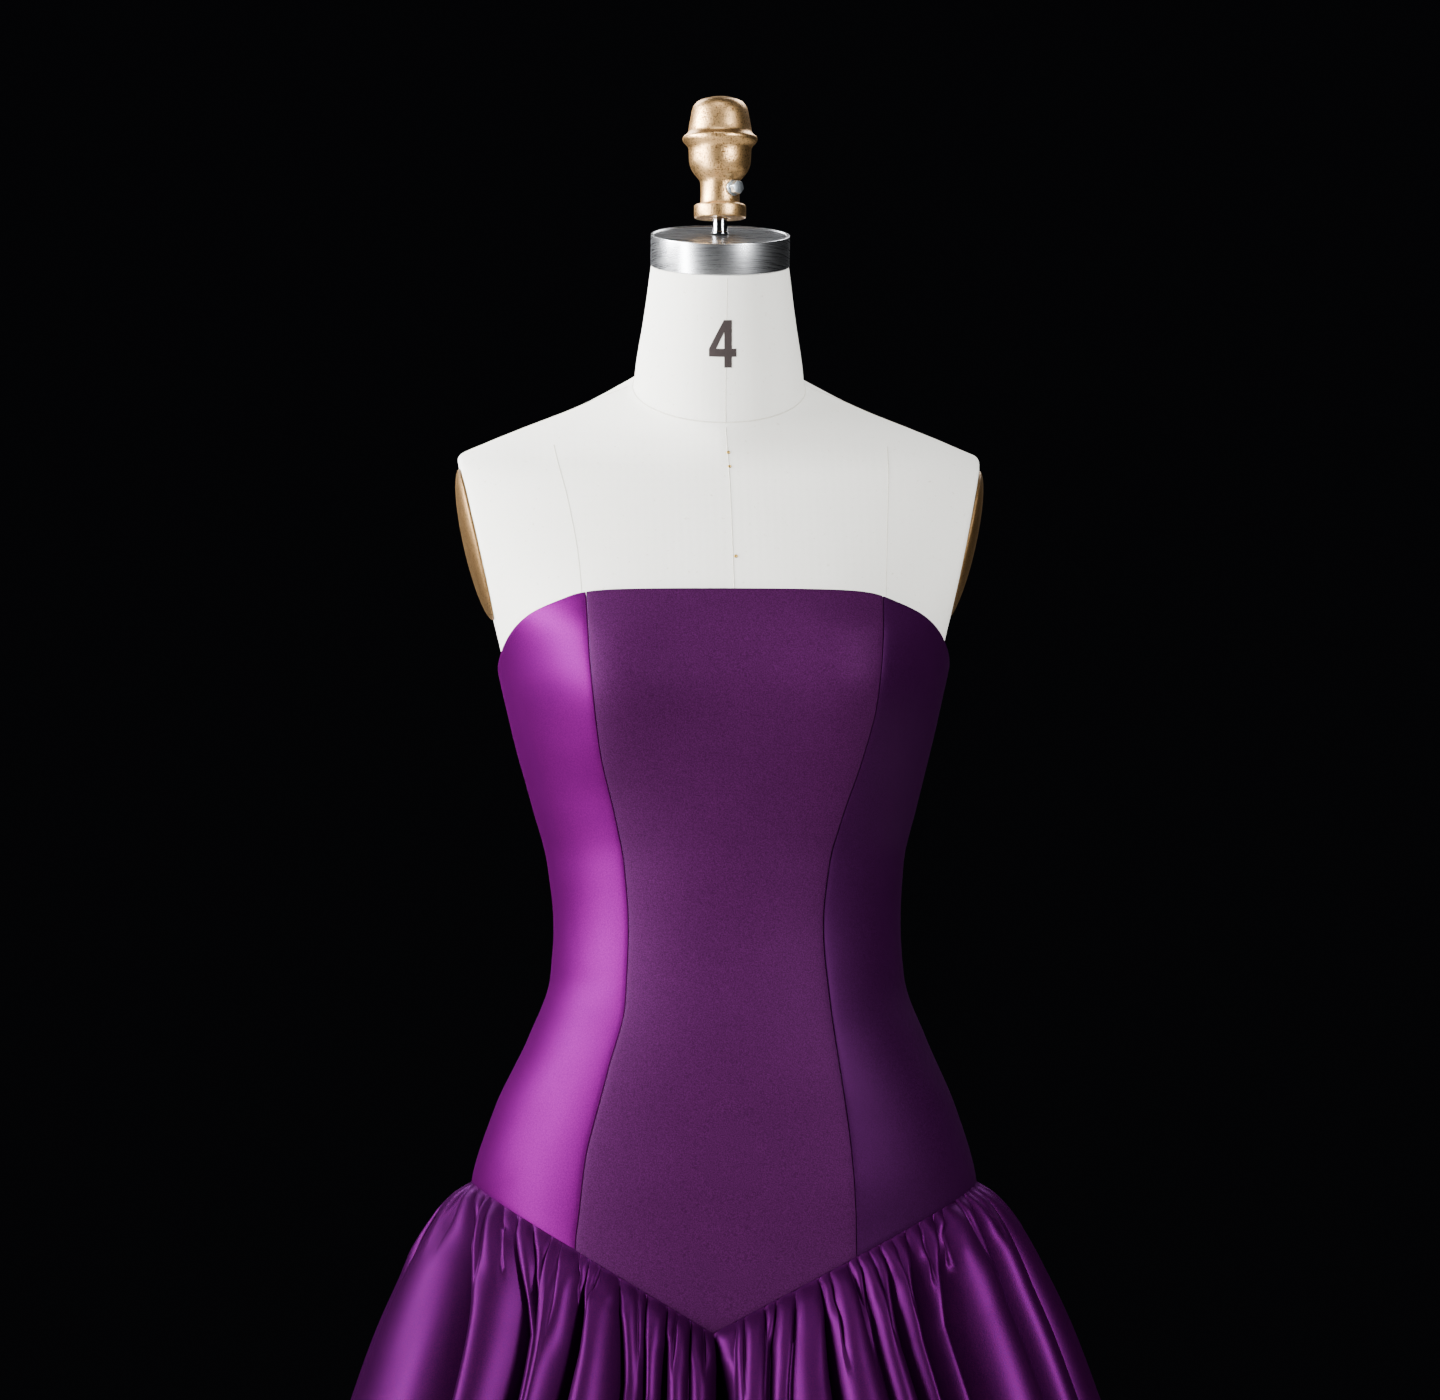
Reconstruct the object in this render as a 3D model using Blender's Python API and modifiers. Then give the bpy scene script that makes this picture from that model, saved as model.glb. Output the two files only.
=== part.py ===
"""A floor-length strapless evening dress with a pointed dropped waist, worn by a dress form on a round stand.

Metres, +Z up. The front faces -Y, and the origin is on the floor under the pole.
Angles round the figure run from the front, 0, by the +X side, 90, to the back, 180 degrees.
"""

import math
import random

import bmesh
import bpy
from mathutils import Matrix, Vector

# Fits and cloth
SEAM_GAP = 0.0003
CLOTH_CLEARANCE = 0.0018
BODICE_WALL = 0.0020
SKIRT_WALL = 0.0014

# The stand
BASE_RADIUS = 0.19
BASE_THICKNESS = 0.016
BASE_SIDES = 40
SOCKET_RADIUS = 0.034
SOCKET_HEIGHT = 0.055
POLE_RADIUS = 0.015
FLANGE_RADIUS = 0.05
FLANGE_THICKNESS = 0.006

# The form, as rings from its bottom to the top of its neck
FORM_BOTTOM = 0.700
FORM_COLUMNS = 32
FORM_ROW = 0.026
FIGURE = [
    # level, half width, depths in front and behind, squareness in front and behind, the middle's place,
    # and the rise towards the back
    dict(level=0.700, half=0.1690, front=0.098, back=0.108, square=2.3, square_back=2.2, aside=0.003, centre=0.004, rise=0.0),
    dict(level=0.760, half=0.1750, front=0.102, back=0.116, square=2.3, square_back=2.2, aside=0.003, centre=0.004, rise=0.0),
    dict(level=0.830, half=0.1765, front=0.104, back=0.122, square=2.3, square_back=2.2, aside=0.003, centre=0.004, rise=0.0),
    dict(level=0.868, half=0.1732, front=0.105, back=0.120, square=2.3, square_back=2.2, aside=0.003, centre=0.003, rise=0.0),
    dict(level=0.920, half=0.1578, front=0.104, back=0.109, square=2.3, square_back=2.2, aside=0.004, centre=0.002, rise=0.0),
    dict(level=0.970, half=0.1353, front=0.099, back=0.095, square=2.2, square_back=2.2, aside=0.005, centre=0.0, rise=0.0),
    dict(level=1.012, half=0.1205, front=0.092, back=0.086, square=2.1, square_back=2.2, aside=0.005, centre=0.0, rise=0.0),
    dict(level=1.050, half=0.1178, front=0.089, back=0.084, square=2.1, square_back=2.2, aside=0.005, centre=0.0, rise=0.0),
    dict(level=1.092, half=0.1210, front=0.092, back=0.087, square=2.1, square_back=2.2, aside=0.004, centre=0.0, rise=0.0),
    dict(level=1.130, half=0.1305, front=0.099, back=0.093, square=2.2, square_back=2.3, aside=0.003, centre=0.0, rise=0.0),
    dict(level=1.175, half=0.1422, front=0.112, back=0.098, square=2.3, square_back=2.4, aside=0.002, centre=0.0, rise=0.0),
    dict(level=1.220, half=0.1524, front=0.123, back=0.102, square=2.4, square_back=2.5, aside=0.002, centre=0.0, rise=0.0),
    dict(level=1.245, half=0.1585, front=0.122, back=0.105, square=2.4, square_back=2.5, aside=0.001, centre=0.0, rise=0.0),
    dict(level=1.275, half=0.1720, front=0.114, back=0.109, square=2.3, square_back=2.5, aside=0.0, centre=0.001, rise=0.03),
    dict(level=1.305, half=0.1850, front=0.101, back=0.111, square=2.2, square_back=2.4, aside=0.0, centre=0.002, rise=0.07),
    dict(level=1.335, half=0.1920, front=0.088, back=0.109, square=2.1, square_back=2.3, aside=0.0, centre=0.004, rise=0.12),
    dict(level=1.358, half=0.1930, front=0.078, back=0.103, square=2.0, square_back=2.2, aside=0.0, centre=0.006, rise=0.17),
    dict(level=1.373, half=0.1880, front=0.071, back=0.096, square=1.9, square_back=2.0, aside=0.0, centre=0.008, rise=0.22),
    dict(level=1.382, half=0.1700, front=0.067, back=0.091, square=1.7, square_back=1.8, aside=0.0, centre=0.009, rise=0.26),
    dict(level=1.391, half=0.1490, front=0.064, back=0.085, square=1.5, square_back=1.6, aside=0.0, centre=0.010, rise=0.30),
    dict(level=1.405, half=0.1110, front=0.061, back=0.076, square=1.4, square_back=1.5, aside=0.0, centre=0.011, rise=0.38),
    dict(level=1.417, half=0.0803, front=0.059, back=0.070, square=1.6, square_back=1.7, aside=0.0, centre=0.012, rise=0.45),
    dict(level=1.4225, half=0.0660, front=0.0585, back=0.067, square=1.8, square_back=1.8, aside=0.0, centre=0.012, rise=0.49),
    dict(level=1.4258, half=0.0602, front=0.057, back=0.063, square=2.0, square_back=2.0, aside=0.0, centre=0.012, rise=0.51),
    dict(level=1.442, half=0.0582, front=0.054, back=0.060, square=2.0, square_back=2.0, aside=0.0, centre=0.010, rise=0.42),
    dict(level=1.472, half=0.0533, front=0.050, back=0.053, square=2.0, square_back=2.0, aside=0.0, centre=0.005, rise=0.31),
    dict(level=1.5098, half=0.0482, front=0.0467, back=0.0467, square=2.0, square_back=2.0, aside=0.0, centre=0.0, rise=0.26),
]
BUST = dict(out=0.016, side=0.092, level=1.205, width=0.045, height=0.060)
ARMHOLE_LOW = Vector((0.1525, 0.0, 1.2396))
ARMHOLE_TOP = Vector((0.1828, 0.0, 1.373))
ARM_PLATE = dict(half_length=0.0545, half_width=0.037, dome=0.0095, set_back=0.004, rise=0.0085)

# The neck cap, its stem and the turned knob
CAP_RADIUS = 0.0486
CAP_HEIGHT = 0.0218
CAP_RISE = 0.26
STEM_RADIUS = 0.0054
KNOB_FOOT = 1.5431
KNOB = [
    # radius, height over the foot
    dict(radius=0.0, height=0.0850), dict(radius=0.0129, height=0.0830), dict(radius=0.0176, height=0.0801),
    dict(radius=0.0196, height=0.0765), dict(radius=0.0218, height=0.0641), dict(radius=0.0225, height=0.0595),
    dict(radius=0.0259, height=0.0570), dict(radius=0.0262, height=0.0540), dict(radius=0.0236, height=0.0506),
    dict(radius=0.0218, height=0.0490), dict(radius=0.0216, height=0.0399), dict(radius=0.0205, height=0.0354),
    dict(radius=0.0179, height=0.0309), dict(radius=0.0145, height=0.0270), dict(radius=0.0136, height=0.0240),
    dict(radius=0.0136, height=0.0105), dict(radius=0.0178, height=0.0094), dict(radius=0.0181, height=0.0080),
    dict(radius=0.0181, height=0.0010), dict(radius=0.0173, height=0.0), dict(radius=0.0, height=0.0),
]
KNOB_SIDES = 18
SET_SCREW = dict(angle=37.0, height=0.0200, radius=0.0047, reach=0.0075, washer_radius=0.0056, washer=0.0022)

# Bodice outline and seams
TOP_EDGE = [
    dict(angle=0.0, level=1.2822), dict(angle=20.0, level=1.2820), dict(angle=34.0, level=1.2814),
    dict(angle=41.0, level=1.2802), dict(angle=45.5, level=1.2780), dict(angle=50.0, level=1.2730),
    dict(angle=57.0, level=1.2642), dict(angle=65.0, level=1.2514), dict(angle=73.0, level=1.2396),
    dict(angle=81.0, level=1.2306), dict(angle=90.0, level=1.2250), dict(angle=112.0, level=1.2190),
    dict(angle=145.0, level=1.2140), dict(angle=180.0, level=1.2120),
]
WAIST_POINT = dict(side=-0.010, level=0.7695)
WAIST_SIDE = 0.8690
WAIST_BACK_DIP = 0.032
FRONT_SEAM = [
    # how far the two front seams are from the middle: the panel leans, so its foot is nearer one side
    dict(level=0.760, right=0.1055, left=0.0895), dict(level=0.830, right=0.1039, left=0.0890),
    dict(level=0.853, right=0.1013, left=0.0882), dict(level=0.888, right=0.0972, left=0.0859),
    dict(level=0.920, right=0.0895, left=0.0823), dict(level=0.950, right=0.0816, left=0.0777),
    dict(level=0.996, right=0.0694, left=0.0711), dict(level=1.045, right=0.0673, left=0.0670),
    dict(level=1.090, right=0.0704, left=0.0711), dict(level=1.120, right=0.0762, left=0.0791),
    dict(level=1.164, right=0.0869, left=0.0936), dict(level=1.200, right=0.0922, left=0.1016),
    dict(level=1.240, right=0.0962, left=0.1051), dict(level=1.290, right=0.0975, left=0.1070),
]
BACK_SEAM = [
    dict(level=0.820, side=0.0860), dict(level=0.920, side=0.0700), dict(level=1.045, side=0.0500),
    dict(level=1.130, side=0.0610), dict(level=1.250, side=0.0840),
]
BODICE_ROWS = 19
FRONT_COLUMNS = 10
SIDE_FRONT_COLUMNS = 8
SIDE_BACK_COLUMNS = 7
BACK_COLUMNS = 5

# The skirt
HEM_LEVEL = 0.015
SKIRT_FLARE = [
    # how far the ridges of the folds stand out from the waist seam, by their drop below it
    dict(drop=0.0, out=0.0065), dict(drop=0.006, out=0.0140), dict(drop=0.022, out=0.0280),
    dict(drop=0.053, out=0.0475), dict(drop=0.099, out=0.0700), dict(drop=0.151, out=0.0900),
    dict(drop=0.300, out=0.1440), dict(drop=0.500, out=0.2120), dict(drop=0.700, out=0.2760),
    dict(drop=0.860, out=0.3250),
]
FRONT_FLARE = 1.24
BACK_FLARE = 1.14
SKIRT_ROWS = [0.0, 0.012, 0.035, 0.080, 0.160, 0.300, 0.500, 0.750, 1.0]
GATHER_WIDTH = 0.0131
COLUMNS_PER_GATHER = 3
FOLD_DEPTH = [
    # depth from ridge to valley of the fine gathers and of the long folds
    dict(drop=0.0, gather=0.0050, fold=0.0), dict(drop=0.010, gather=0.0070, fold=0.0020),
    dict(drop=0.030, gather=0.0085, fold=0.0110), dict(drop=0.070, gather=0.0055, fold=0.0230),
    dict(drop=0.140, gather=0.0025, fold=0.0330), dict(drop=0.260, gather=0.0, fold=0.0420),
    dict(drop=0.860, gather=0.0, fold=0.0570),
]
STEEPEST_FOLD = 0.62
FOLD_TURN = 0.055
FOLD_FADE = 0.12
FRONT_VALLEYS = [
    # the valleys between the folds, from the wearer's right: the angle at the seam and lower down, the depth
    # beside the deepest, and the drop at which a short one has died away
    (-90.0, -90.0, 0.30, 9.0), (-86.5, -80.5, 0.35, 0.30), (-82.0, -72.5, 0.55, 9.0), (-75.9, -60.7, 0.95, 9.0),
    (-66.8, -51.3, 1.00, 9.0), (-61.8, -48.6, 0.45, 0.07), (-56.5, -45.6, 0.70, 0.34), (-45.9, -39.0, 1.00, 9.0),
    (-36.7, -28.8, 0.60, 0.26), (-27.8, -22.5, 0.85, 9.0), (-20.0, -16.5, 0.45, 0.16), (-7.1, -2.8, 1.00, 9.0),
    (2.8, 2.6, 0.45, 0.20), (13.7, 9.0, 0.90, 9.0), (23.2, 17.0, 0.35, 0.14), (31.4, 25.0, 0.70, 9.0),
    (39.7, 32.0, 0.40, 0.24), (48.4, 39.5, 0.65, 9.0), (56.4, 45.2, 1.00, 9.0), (64.5, 51.0, 0.90, 0.42),
    (70.2, 57.2, 0.50, 0.22), (74.9, 63.0, 0.65, 9.0), (80.7, 70.5, 0.40, 0.30), (90.0, 90.0, 0.30, 9.0),
]
BACK_VALLEYS = [
    (90.0, 90.0, 0.30, 9.0), (97.0, 104.0, 0.60, 9.0), (103.0, 109.0, 0.40, 0.20), (111.0, 117.5, 0.90, 9.0),
    (118.5, 124.0, 0.50, 0.30), (126.0, 131.5, 0.95, 9.0), (133.0, 137.0, 0.40, 0.12), (140.0, 144.5, 0.75, 9.0),
    (149.0, 152.0, 0.55, 0.36), (157.5, 160.0, 1.00, 9.0), (166.0, 167.5, 0.45, 0.18), (174.0, 175.0, 0.80, 9.0),
    (183.0, 182.0, 0.40, 0.24), (191.5, 189.0, 1.00, 9.0), (200.0, 197.5, 0.60, 0.44), (207.5, 204.0, 0.85, 9.0),
    (215.5, 211.5, 0.40, 0.15), (223.0, 218.0, 0.95, 9.0), (232.0, 226.0, 0.55, 0.28), (239.5, 233.5, 0.90, 9.0),
    (248.0, 241.0, 0.45, 0.20), (256.0, 250.0, 0.75, 9.0), (263.5, 259.0, 0.45, 0.30), (270.0, 270.0, 0.30, 9.0),
]
SEED = 11

# The zip at the middle of the back
SLIDER = dict(width=0.0056, length=0.0095, thickness=0.0018, below_edge=0.012)
EAR = dict(thickness=0.0009, height=0.0030, length=0.0032)
PIN_RADIUS = 0.0005
PULL = dict(barrel_radius=0.00115, bore_radius=0.0008, width=0.0030, end_width=0.0056, length=0.019, thickness=0.0011)


def clear_scene():
    for obj in list(bpy.data.objects):
        bpy.data.objects.remove(obj, do_unlink=True)


def new_collection(name):
    collection = bpy.data.collections.new(name)
    bpy.context.scene.collection.children.link(collection)
    return collection


def material(name, colour, roughness, metallic=0.0):
    made = bpy.data.materials.new(name)
    made.use_nodes = True
    shader = made.node_tree.nodes["Principled BSDF"]
    shader.inputs["Base Color"].default_value = (*colour, 1.0)
    shader.inputs["Roughness"].default_value = roughness
    shader.inputs["Metallic"].default_value = metallic
    return made


def read_table(table, key, column, at):
    """A smooth value between a table's rows, with no overshoot (Fritsch and Carlson's slopes)."""
    xs = [row[key] for row in table]
    ys = [row[column] for row in table]
    if at <= xs[0]:
        return ys[0]
    if at >= xs[-1]:
        return ys[-1]
    gaps = [b - a for a, b in zip(xs, xs[1:])]
    rises = [(d - c) / g for c, d, g in zip(ys, ys[1:], gaps)]
    slopes = [rises[0]]
    for left, right in zip(rises, rises[1:]):
        slopes.append(0.0 if left * right <= 0 else 2 * left * right / (left + right))
    slopes.append(rises[-1])
    i = max(k for k in range(len(gaps)) if xs[k] <= at)
    t = (at - xs[i]) / gaps[i]
    start = ys[i] * (1 + 2 * t) * (1 - t) ** 2 + gaps[i] * slopes[i] * t * (1 - t) ** 2
    return start + ys[i + 1] * t * t * (3 - 2 * t) - gaps[i] * slopes[i + 1] * t * t * (1 - t)


def figure(level):
    names = ("half", "front", "back", "square", "square_back", "aside", "centre", "rise")
    return {name: read_table(FIGURE, "level", name, level) for name in names}


def bust_swell(x, level):
    across = (abs(x) - BUST["side"]) / BUST["width"]
    upward = (level - BUST["level"]) / BUST["height"]
    return BUST["out"] * math.exp(-across * across - upward * upward)


def ring_reach(angle, ring, out):
    """How far a ring's edge is from its middle, in the direction of an angle."""
    s, c = abs(math.sin(math.radians(angle))), math.cos(math.radians(angle))
    depth = (ring["front"] if c >= 0 else ring["back"]) + out
    square = ring["square"] if c >= 0 else ring["square_back"]
    return ((s / (ring["half"] + out)) ** square + (abs(c) / depth) ** square) ** (-1 / square)


def figure_point(angle, level, out=0.0):
    """A point of the figure's surface, moved out by a distance."""
    ring = figure(level)
    reach = ring_reach(angle, ring, out)
    s, c = math.sin(math.radians(angle)), math.cos(math.radians(angle))
    y = -reach * c
    if c > 0:
        y -= bust_swell(reach * s, level) * min(1.0, 4 * c)
    return Vector((ring["aside"] + reach * s, ring["centre"] + y, level + ring["rise"] * y))


def angle_at(x, level, in_front=True):
    """The angle at which the cloth over the figure's ring crosses a place, measured across from the middle."""
    ring = figure(level)
    side = abs(x - ring["aside"])
    low, high = 0.0, 90.0
    for _ in range(30):
        angle = (low + high) / 2
        turn = angle if in_front else 180.0 - angle
        reach = ring_reach(turn, ring, CLOTH_CLEARANCE + BODICE_WALL)
        if reach * math.sin(math.radians(angle)) < side:
            low = angle
        else:
            high = angle
    return math.copysign(low if in_front else 180.0 - low, x - ring["aside"])


def top_edge(angle):
    return read_table(TOP_EDGE, "angle", "level", abs(angle))


def waist_seam(angle):
    """The pointed seam in front and its shallow dip behind."""
    turn = abs((angle + 180.0) % 360.0 - 180.0)
    if turn >= 90.0:
        return WAIST_SIDE - WAIST_BACK_DIP * math.sin(math.radians(turn - 90.0)) ** 2
    ring = figure(WAIST_SIDE)
    x = ring["aside"] + ring_reach(turn, ring, 0.0) * math.sin(math.radians(angle))
    corner = ring["aside"] + math.copysign(ring["half"], x - WAIST_POINT["side"])
    climb = (WAIST_SIDE - WAIST_POINT["level"]) / abs(corner - WAIST_POINT["side"])
    return WAIST_POINT["level"] + climb * abs(x - WAIST_POINT["side"])


def grid_object(name, rows, finish, collection, round_it=False, caps=False):
    """A mesh of quads through rows of points. round_it joins each row's ends, and caps closes the first and last row."""
    mesh = bmesh.new()
    grid = [[mesh.verts.new(point) for point in row] for row in rows]
    columns = len(rows[0])
    spans = columns if round_it else columns - 1
    for below, above in zip(grid, grid[1:]):
        for i in range(spans):
            j = (i + 1) % columns
            mesh.faces.new((below[i], below[j], above[j], above[i]))
    if caps:
        mesh.faces.new(list(reversed(grid[0])))
        mesh.faces.new(grid[-1])
    return finish_mesh(name, mesh, finish, collection)


def walled_object(name, outer, inner, finish, collection):
    """A cloth wall between two grids of points, closed along its four edges."""
    mesh = bmesh.new()
    skins = [[[mesh.verts.new(point) for point in row] for row in grid] for grid in (outer, inner)]
    last_row, last_column = len(outer) - 1, len(outer[0]) - 1
    for skin in skins:
        for below, above in zip(skin, skin[1:]):
            for i in range(last_column):
                mesh.faces.new((below[i], below[i + 1], above[i + 1], above[i]))
    across = [(0, i) for i in range(last_column + 1)] + [(r, last_column) for r in range(1, last_row + 1)]
    home = [(last_row, i) for i in reversed(range(last_column))] + [(r, 0) for r in reversed(range(last_row))]
    border = across + home
    for (r, i), (q, k) in zip(border, border[1:]):
        mesh.faces.new((skins[0][r][i], skins[0][q][k], skins[1][q][k], skins[1][r][i]))
    return finish_mesh(name, mesh, finish, collection)


def finish_mesh(name, mesh, finish, collection, smooth=True):
    bmesh.ops.recalc_face_normals(mesh, faces=mesh.faces)
    data = bpy.data.meshes.new(name)
    mesh.to_mesh(data)
    mesh.free()
    if smooth:
        data.shade_smooth()
        data.set_sharp_from_angle(angle=math.radians(40))
    data.materials.append(finish)
    obj = bpy.data.objects.new(name, data)
    collection.objects.link(obj)
    return obj


def add_wall(obj, thickness, offset):
    """A shell's thickness. Offset 1 puts it outside the mesh, and -1 inside."""
    wall = obj.modifiers.new("wall", "SOLIDIFY")
    wall.thickness = thickness
    wall.offset = offset
    wall.use_even_offset = False


def turned_object(name, profile, foot, sides, finish, collection):
    """A profile of radius and height, from the top down, turned about the upright axis."""
    data = bpy.data.meshes.new(name)
    points = [(row["radius"], 0.0, foot + row["height"]) for row in profile]
    data.from_pydata(points, [(i, i + 1) for i in range(len(points) - 1)], [])
    data.materials.append(finish)
    obj = bpy.data.objects.new(name, data)
    collection.objects.link(obj)
    screw = obj.modifiers.new("turn", "SCREW")
    screw.steps = sides
    screw.render_steps = sides
    screw.use_merge_vertices = True
    screw.merge_threshold = 0.00005
    screw.use_smooth_shade = True
    return obj


def cylinder_object(name, radius, low, high, sides, finish, collection, bevel=0.0):
    mesh = bmesh.new()
    place = Matrix.Translation((0, 0, (low + high) / 2))
    size = dict(radius1=radius, radius2=radius, depth=high - low)
    bmesh.ops.create_cone(mesh, cap_ends=True, segments=sides, matrix=place, **size)
    obj = finish_mesh(name, mesh, finish, collection)
    if bevel:
        edge = obj.modifiers.new("edge", "BEVEL")
        edge.width = bevel
        edge.segments = 2
        edge.angle_limit = math.radians(60)
    return obj


def make_form(finish, collection):
    """The covered torso and neck: one loft, cut flat at the armholes."""
    levels = []
    for low, high in zip(FIGURE, FIGURE[1:]):
        steps = math.ceil((high["level"] - low["level"]) / FORM_ROW)
        levels += [low["level"] + (high["level"] - low["level"]) * i / steps for i in range(steps)]
    levels.append(FIGURE[-1]["level"])
    turns = [360.0 * i / FORM_COLUMNS for i in range(FORM_COLUMNS)]
    bottom = [figure_point(turn, FORM_BOTTOM, -0.006) for turn in turns]
    rows = [[point - Vector((0, 0, 0.006)) for point in bottom]]
    rows += [[figure_point(turn, level) for turn in turns] for level in levels]
    form = grid_object("form_torso", rows, finish, collection, round_it=True, caps=True)
    slope = (ARMHOLE_TOP - ARMHOLE_LOW).normalized()
    mesh = bmesh.new()
    mesh.from_mesh(form.data)
    for hand in (1, -1):
        outward = Vector((hand * slope.z, 0.0, -slope.x))
        place = Vector((hand * ARMHOLE_LOW.x, 0.0, ARMHOLE_LOW.z))
        whole = mesh.verts[:] + mesh.edges[:] + mesh.faces[:]
        cut = bmesh.ops.bisect_plane(mesh, geom=whole, plane_co=place, plane_no=outward, clear_outer=True)
        rim = [item for item in cut["geom_cut"] if isinstance(item, bmesh.types.BMEdge)]
        bmesh.ops.contextual_create(mesh, geom=rim)
    mesh.to_mesh(form.data)
    mesh.free()
    return form


def make_arm_plate(name, hand, finish, collection):
    """A shallow oval dome over the armhole, flat against the form."""
    slope = (ARMHOLE_TOP - ARMHOLE_LOW).normalized()
    outward = Vector((hand * slope.z, 0.0, -slope.x))
    middle = (ARMHOLE_LOW + ARMHOLE_TOP) / 2 + slope * ARM_PLATE["rise"]
    place = Vector((hand * middle.x, ARM_PLATE["set_back"], middle.z)) + outward * SEAM_GAP
    mesh = bmesh.new()
    bmesh.ops.create_uvsphere(mesh, u_segments=20, v_segments=10, radius=1.0)
    sizes = (ARM_PLATE["half_width"], ARM_PLATE["half_length"], ARM_PLATE["dome"])
    bmesh.ops.scale(mesh, vec=sizes, verts=mesh.verts)
    whole = mesh.verts[:] + mesh.edges[:] + mesh.faces[:]
    bmesh.ops.bisect_plane(mesh, geom=whole, plane_co=(0, 0, 0), plane_no=(0, 0, -1), clear_outer=True)
    rim = [edge for edge in mesh.edges if len(edge.link_faces) == 1]
    bmesh.ops.contextual_create(mesh, geom=rim)
    upward = Vector((hand * slope.x, 0.0, slope.z))
    across = upward.cross(outward)
    turn = Matrix((across, upward, outward)).transposed().to_4x4()
    bmesh.ops.transform(mesh, matrix=Matrix.Translation(place) @ turn, verts=mesh.verts)
    return finish_mesh(name, mesh, finish, collection)


def make_neck_cap(finish, collection):
    """The steel cap, tipped forward with the top of the neck."""
    tip = math.atan(CAP_RISE)
    low = SEAM_GAP / math.cos(tip)
    mesh = bmesh.new()
    size = dict(radius1=CAP_RADIUS, radius2=CAP_RADIUS, depth=CAP_HEIGHT)
    lift = Matrix.Translation((0, 0, low + CAP_HEIGHT / 2))
    bmesh.ops.create_cone(mesh, cap_ends=True, segments=32, matrix=lift, **size)
    top = [edge for edge in mesh.edges if all(v.co.z > CAP_HEIGHT / 2 for v in edge.verts)]
    bmesh.ops.bevel(mesh, geom=top, offset=0.0012, segments=1, affect="EDGES")
    place = Matrix.Translation((0, 0, FIGURE[-1]["level"])) @ Matrix.Rotation(tip, 4, "X")
    bmesh.ops.transform(mesh, matrix=place, verts=mesh.verts)
    return finish_mesh("neck_cap", mesh, finish, collection)


def make_stem(finish, collection):
    """The rod from the cap to the knob. Its foot is cut to the tipped cap."""
    tip = math.atan(CAP_RISE)
    cap_top = FIGURE[-1]["level"] + (CAP_HEIGHT + 2 * SEAM_GAP) / math.cos(tip)
    mesh = bmesh.new()
    low, high = cap_top - 0.004, KNOB_FOOT - SEAM_GAP
    place = Matrix.Translation((0, 0, (low + high) / 2))
    size = dict(radius1=STEM_RADIUS, radius2=STEM_RADIUS, depth=high - low)
    bmesh.ops.create_cone(mesh, cap_ends=True, segments=16, matrix=place, **size)
    whole = mesh.verts[:] + mesh.edges[:] + mesh.faces[:]
    downward = Vector((0, math.sin(tip), -math.cos(tip)))
    bmesh.ops.bisect_plane(mesh, geom=whole, plane_co=(0, 0, cap_top), plane_no=downward, clear_outer=True)
    rim = [edge for edge in mesh.edges if len(edge.link_faces) == 1]
    bmesh.ops.contextual_create(mesh, geom=rim)
    return finish_mesh("neck_stem", mesh, finish, collection)


def make_set_screw(finish, collection):
    """The small bolt that clamps the knob: a washer and a hexagonal head, as one turned piece."""
    start = 0.0136 * math.cos(math.pi / KNOB_SIDES) + SEAM_GAP + 0.0002
    mesh = bmesh.new()
    washer, reach = SET_SCREW["washer"], SET_SCREW["reach"]
    disc = dict(radius1=SET_SCREW["washer_radius"], radius2=SET_SCREW["washer_radius"], depth=washer)
    bmesh.ops.create_cone(mesh, cap_ends=True, segments=12, matrix=Matrix.Translation((0, 0, washer / 2)), **disc)
    top = max(mesh.faces, key=lambda face: face.calc_center_median().z)
    inset = SET_SCREW["washer_radius"] - SET_SCREW["radius"]
    bmesh.ops.inset_region(mesh, faces=[top], thickness=inset)
    raised = bmesh.ops.extrude_discrete_faces(mesh, faces=[top])["faces"][0]
    bmesh.ops.translate(mesh, vec=(0, 0, reach - washer), verts=raised.verts)
    turn = Matrix.Rotation(math.radians(SET_SCREW["angle"]), 4, "Z") @ Matrix.Rotation(math.radians(90), 4, "X")
    facing = turn @ Vector((0, 0, 1))
    place = Vector((0, 0, KNOB_FOOT + SET_SCREW["height"])) + facing * start
    bmesh.ops.transform(mesh, matrix=Matrix.Translation(place) @ turn, verts=mesh.verts)
    return finish_mesh("knob_screw", mesh, finish, collection)


def panel_angle(share, level, lines):
    """The angle of a place in a panel. lines gives its first seam, any line between, and its last seam."""
    angles = lines(level)
    way = math.copysign(1.0, angles[-1] - angles[0])
    for end, step in ((0, way), (-1, -way)):
        angles[end] += step * math.degrees(SEAM_GAP / 2 / ring_reach(angles[end], figure(level), 0.0))
    part = min(int(share * (len(angles) - 1)), len(angles) - 2)
    along = share * (len(angles) - 1) - part
    return angles[part] + (angles[part + 1] - angles[part]) * along


def make_panel(name, lines, columns, finish, collection):
    """A bodice panel between two seams and between the top edge and the waist seam."""
    skins = {CLOTH_CLEARANCE + BODICE_WALL: [], CLOTH_CLEARANCE: []}
    for r in range(BODICE_ROWS + 1):
        for rows in skins.values():
            rows.append([])
        for k in range(columns + 1):
            level = 1.0
            for _ in range(8):
                angle = panel_angle(k / columns, level, lines)
                low, high = waist_seam(angle), top_edge(angle)
                level = low + (high - low) * r / BODICE_ROWS
            for out, rows in skins.items():
                rows[-1].append(figure_point(angle, level, out))
    outer, inner = skins.values()
    return walled_object(name, outer, inner, finish, collection)


def front_seam(level, side):
    """The angle of a front seam. The wearer's left is at positive angles."""
    x = read_table(FRONT_SEAM, "level", side, level)
    return angle_at(x if side == "left" else -x, level)


def back_seam(level, side):
    x = read_table(BACK_SEAM, "level", "side", level)
    return angle_at(x if side == "left" else -x, level, in_front=False)


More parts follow.
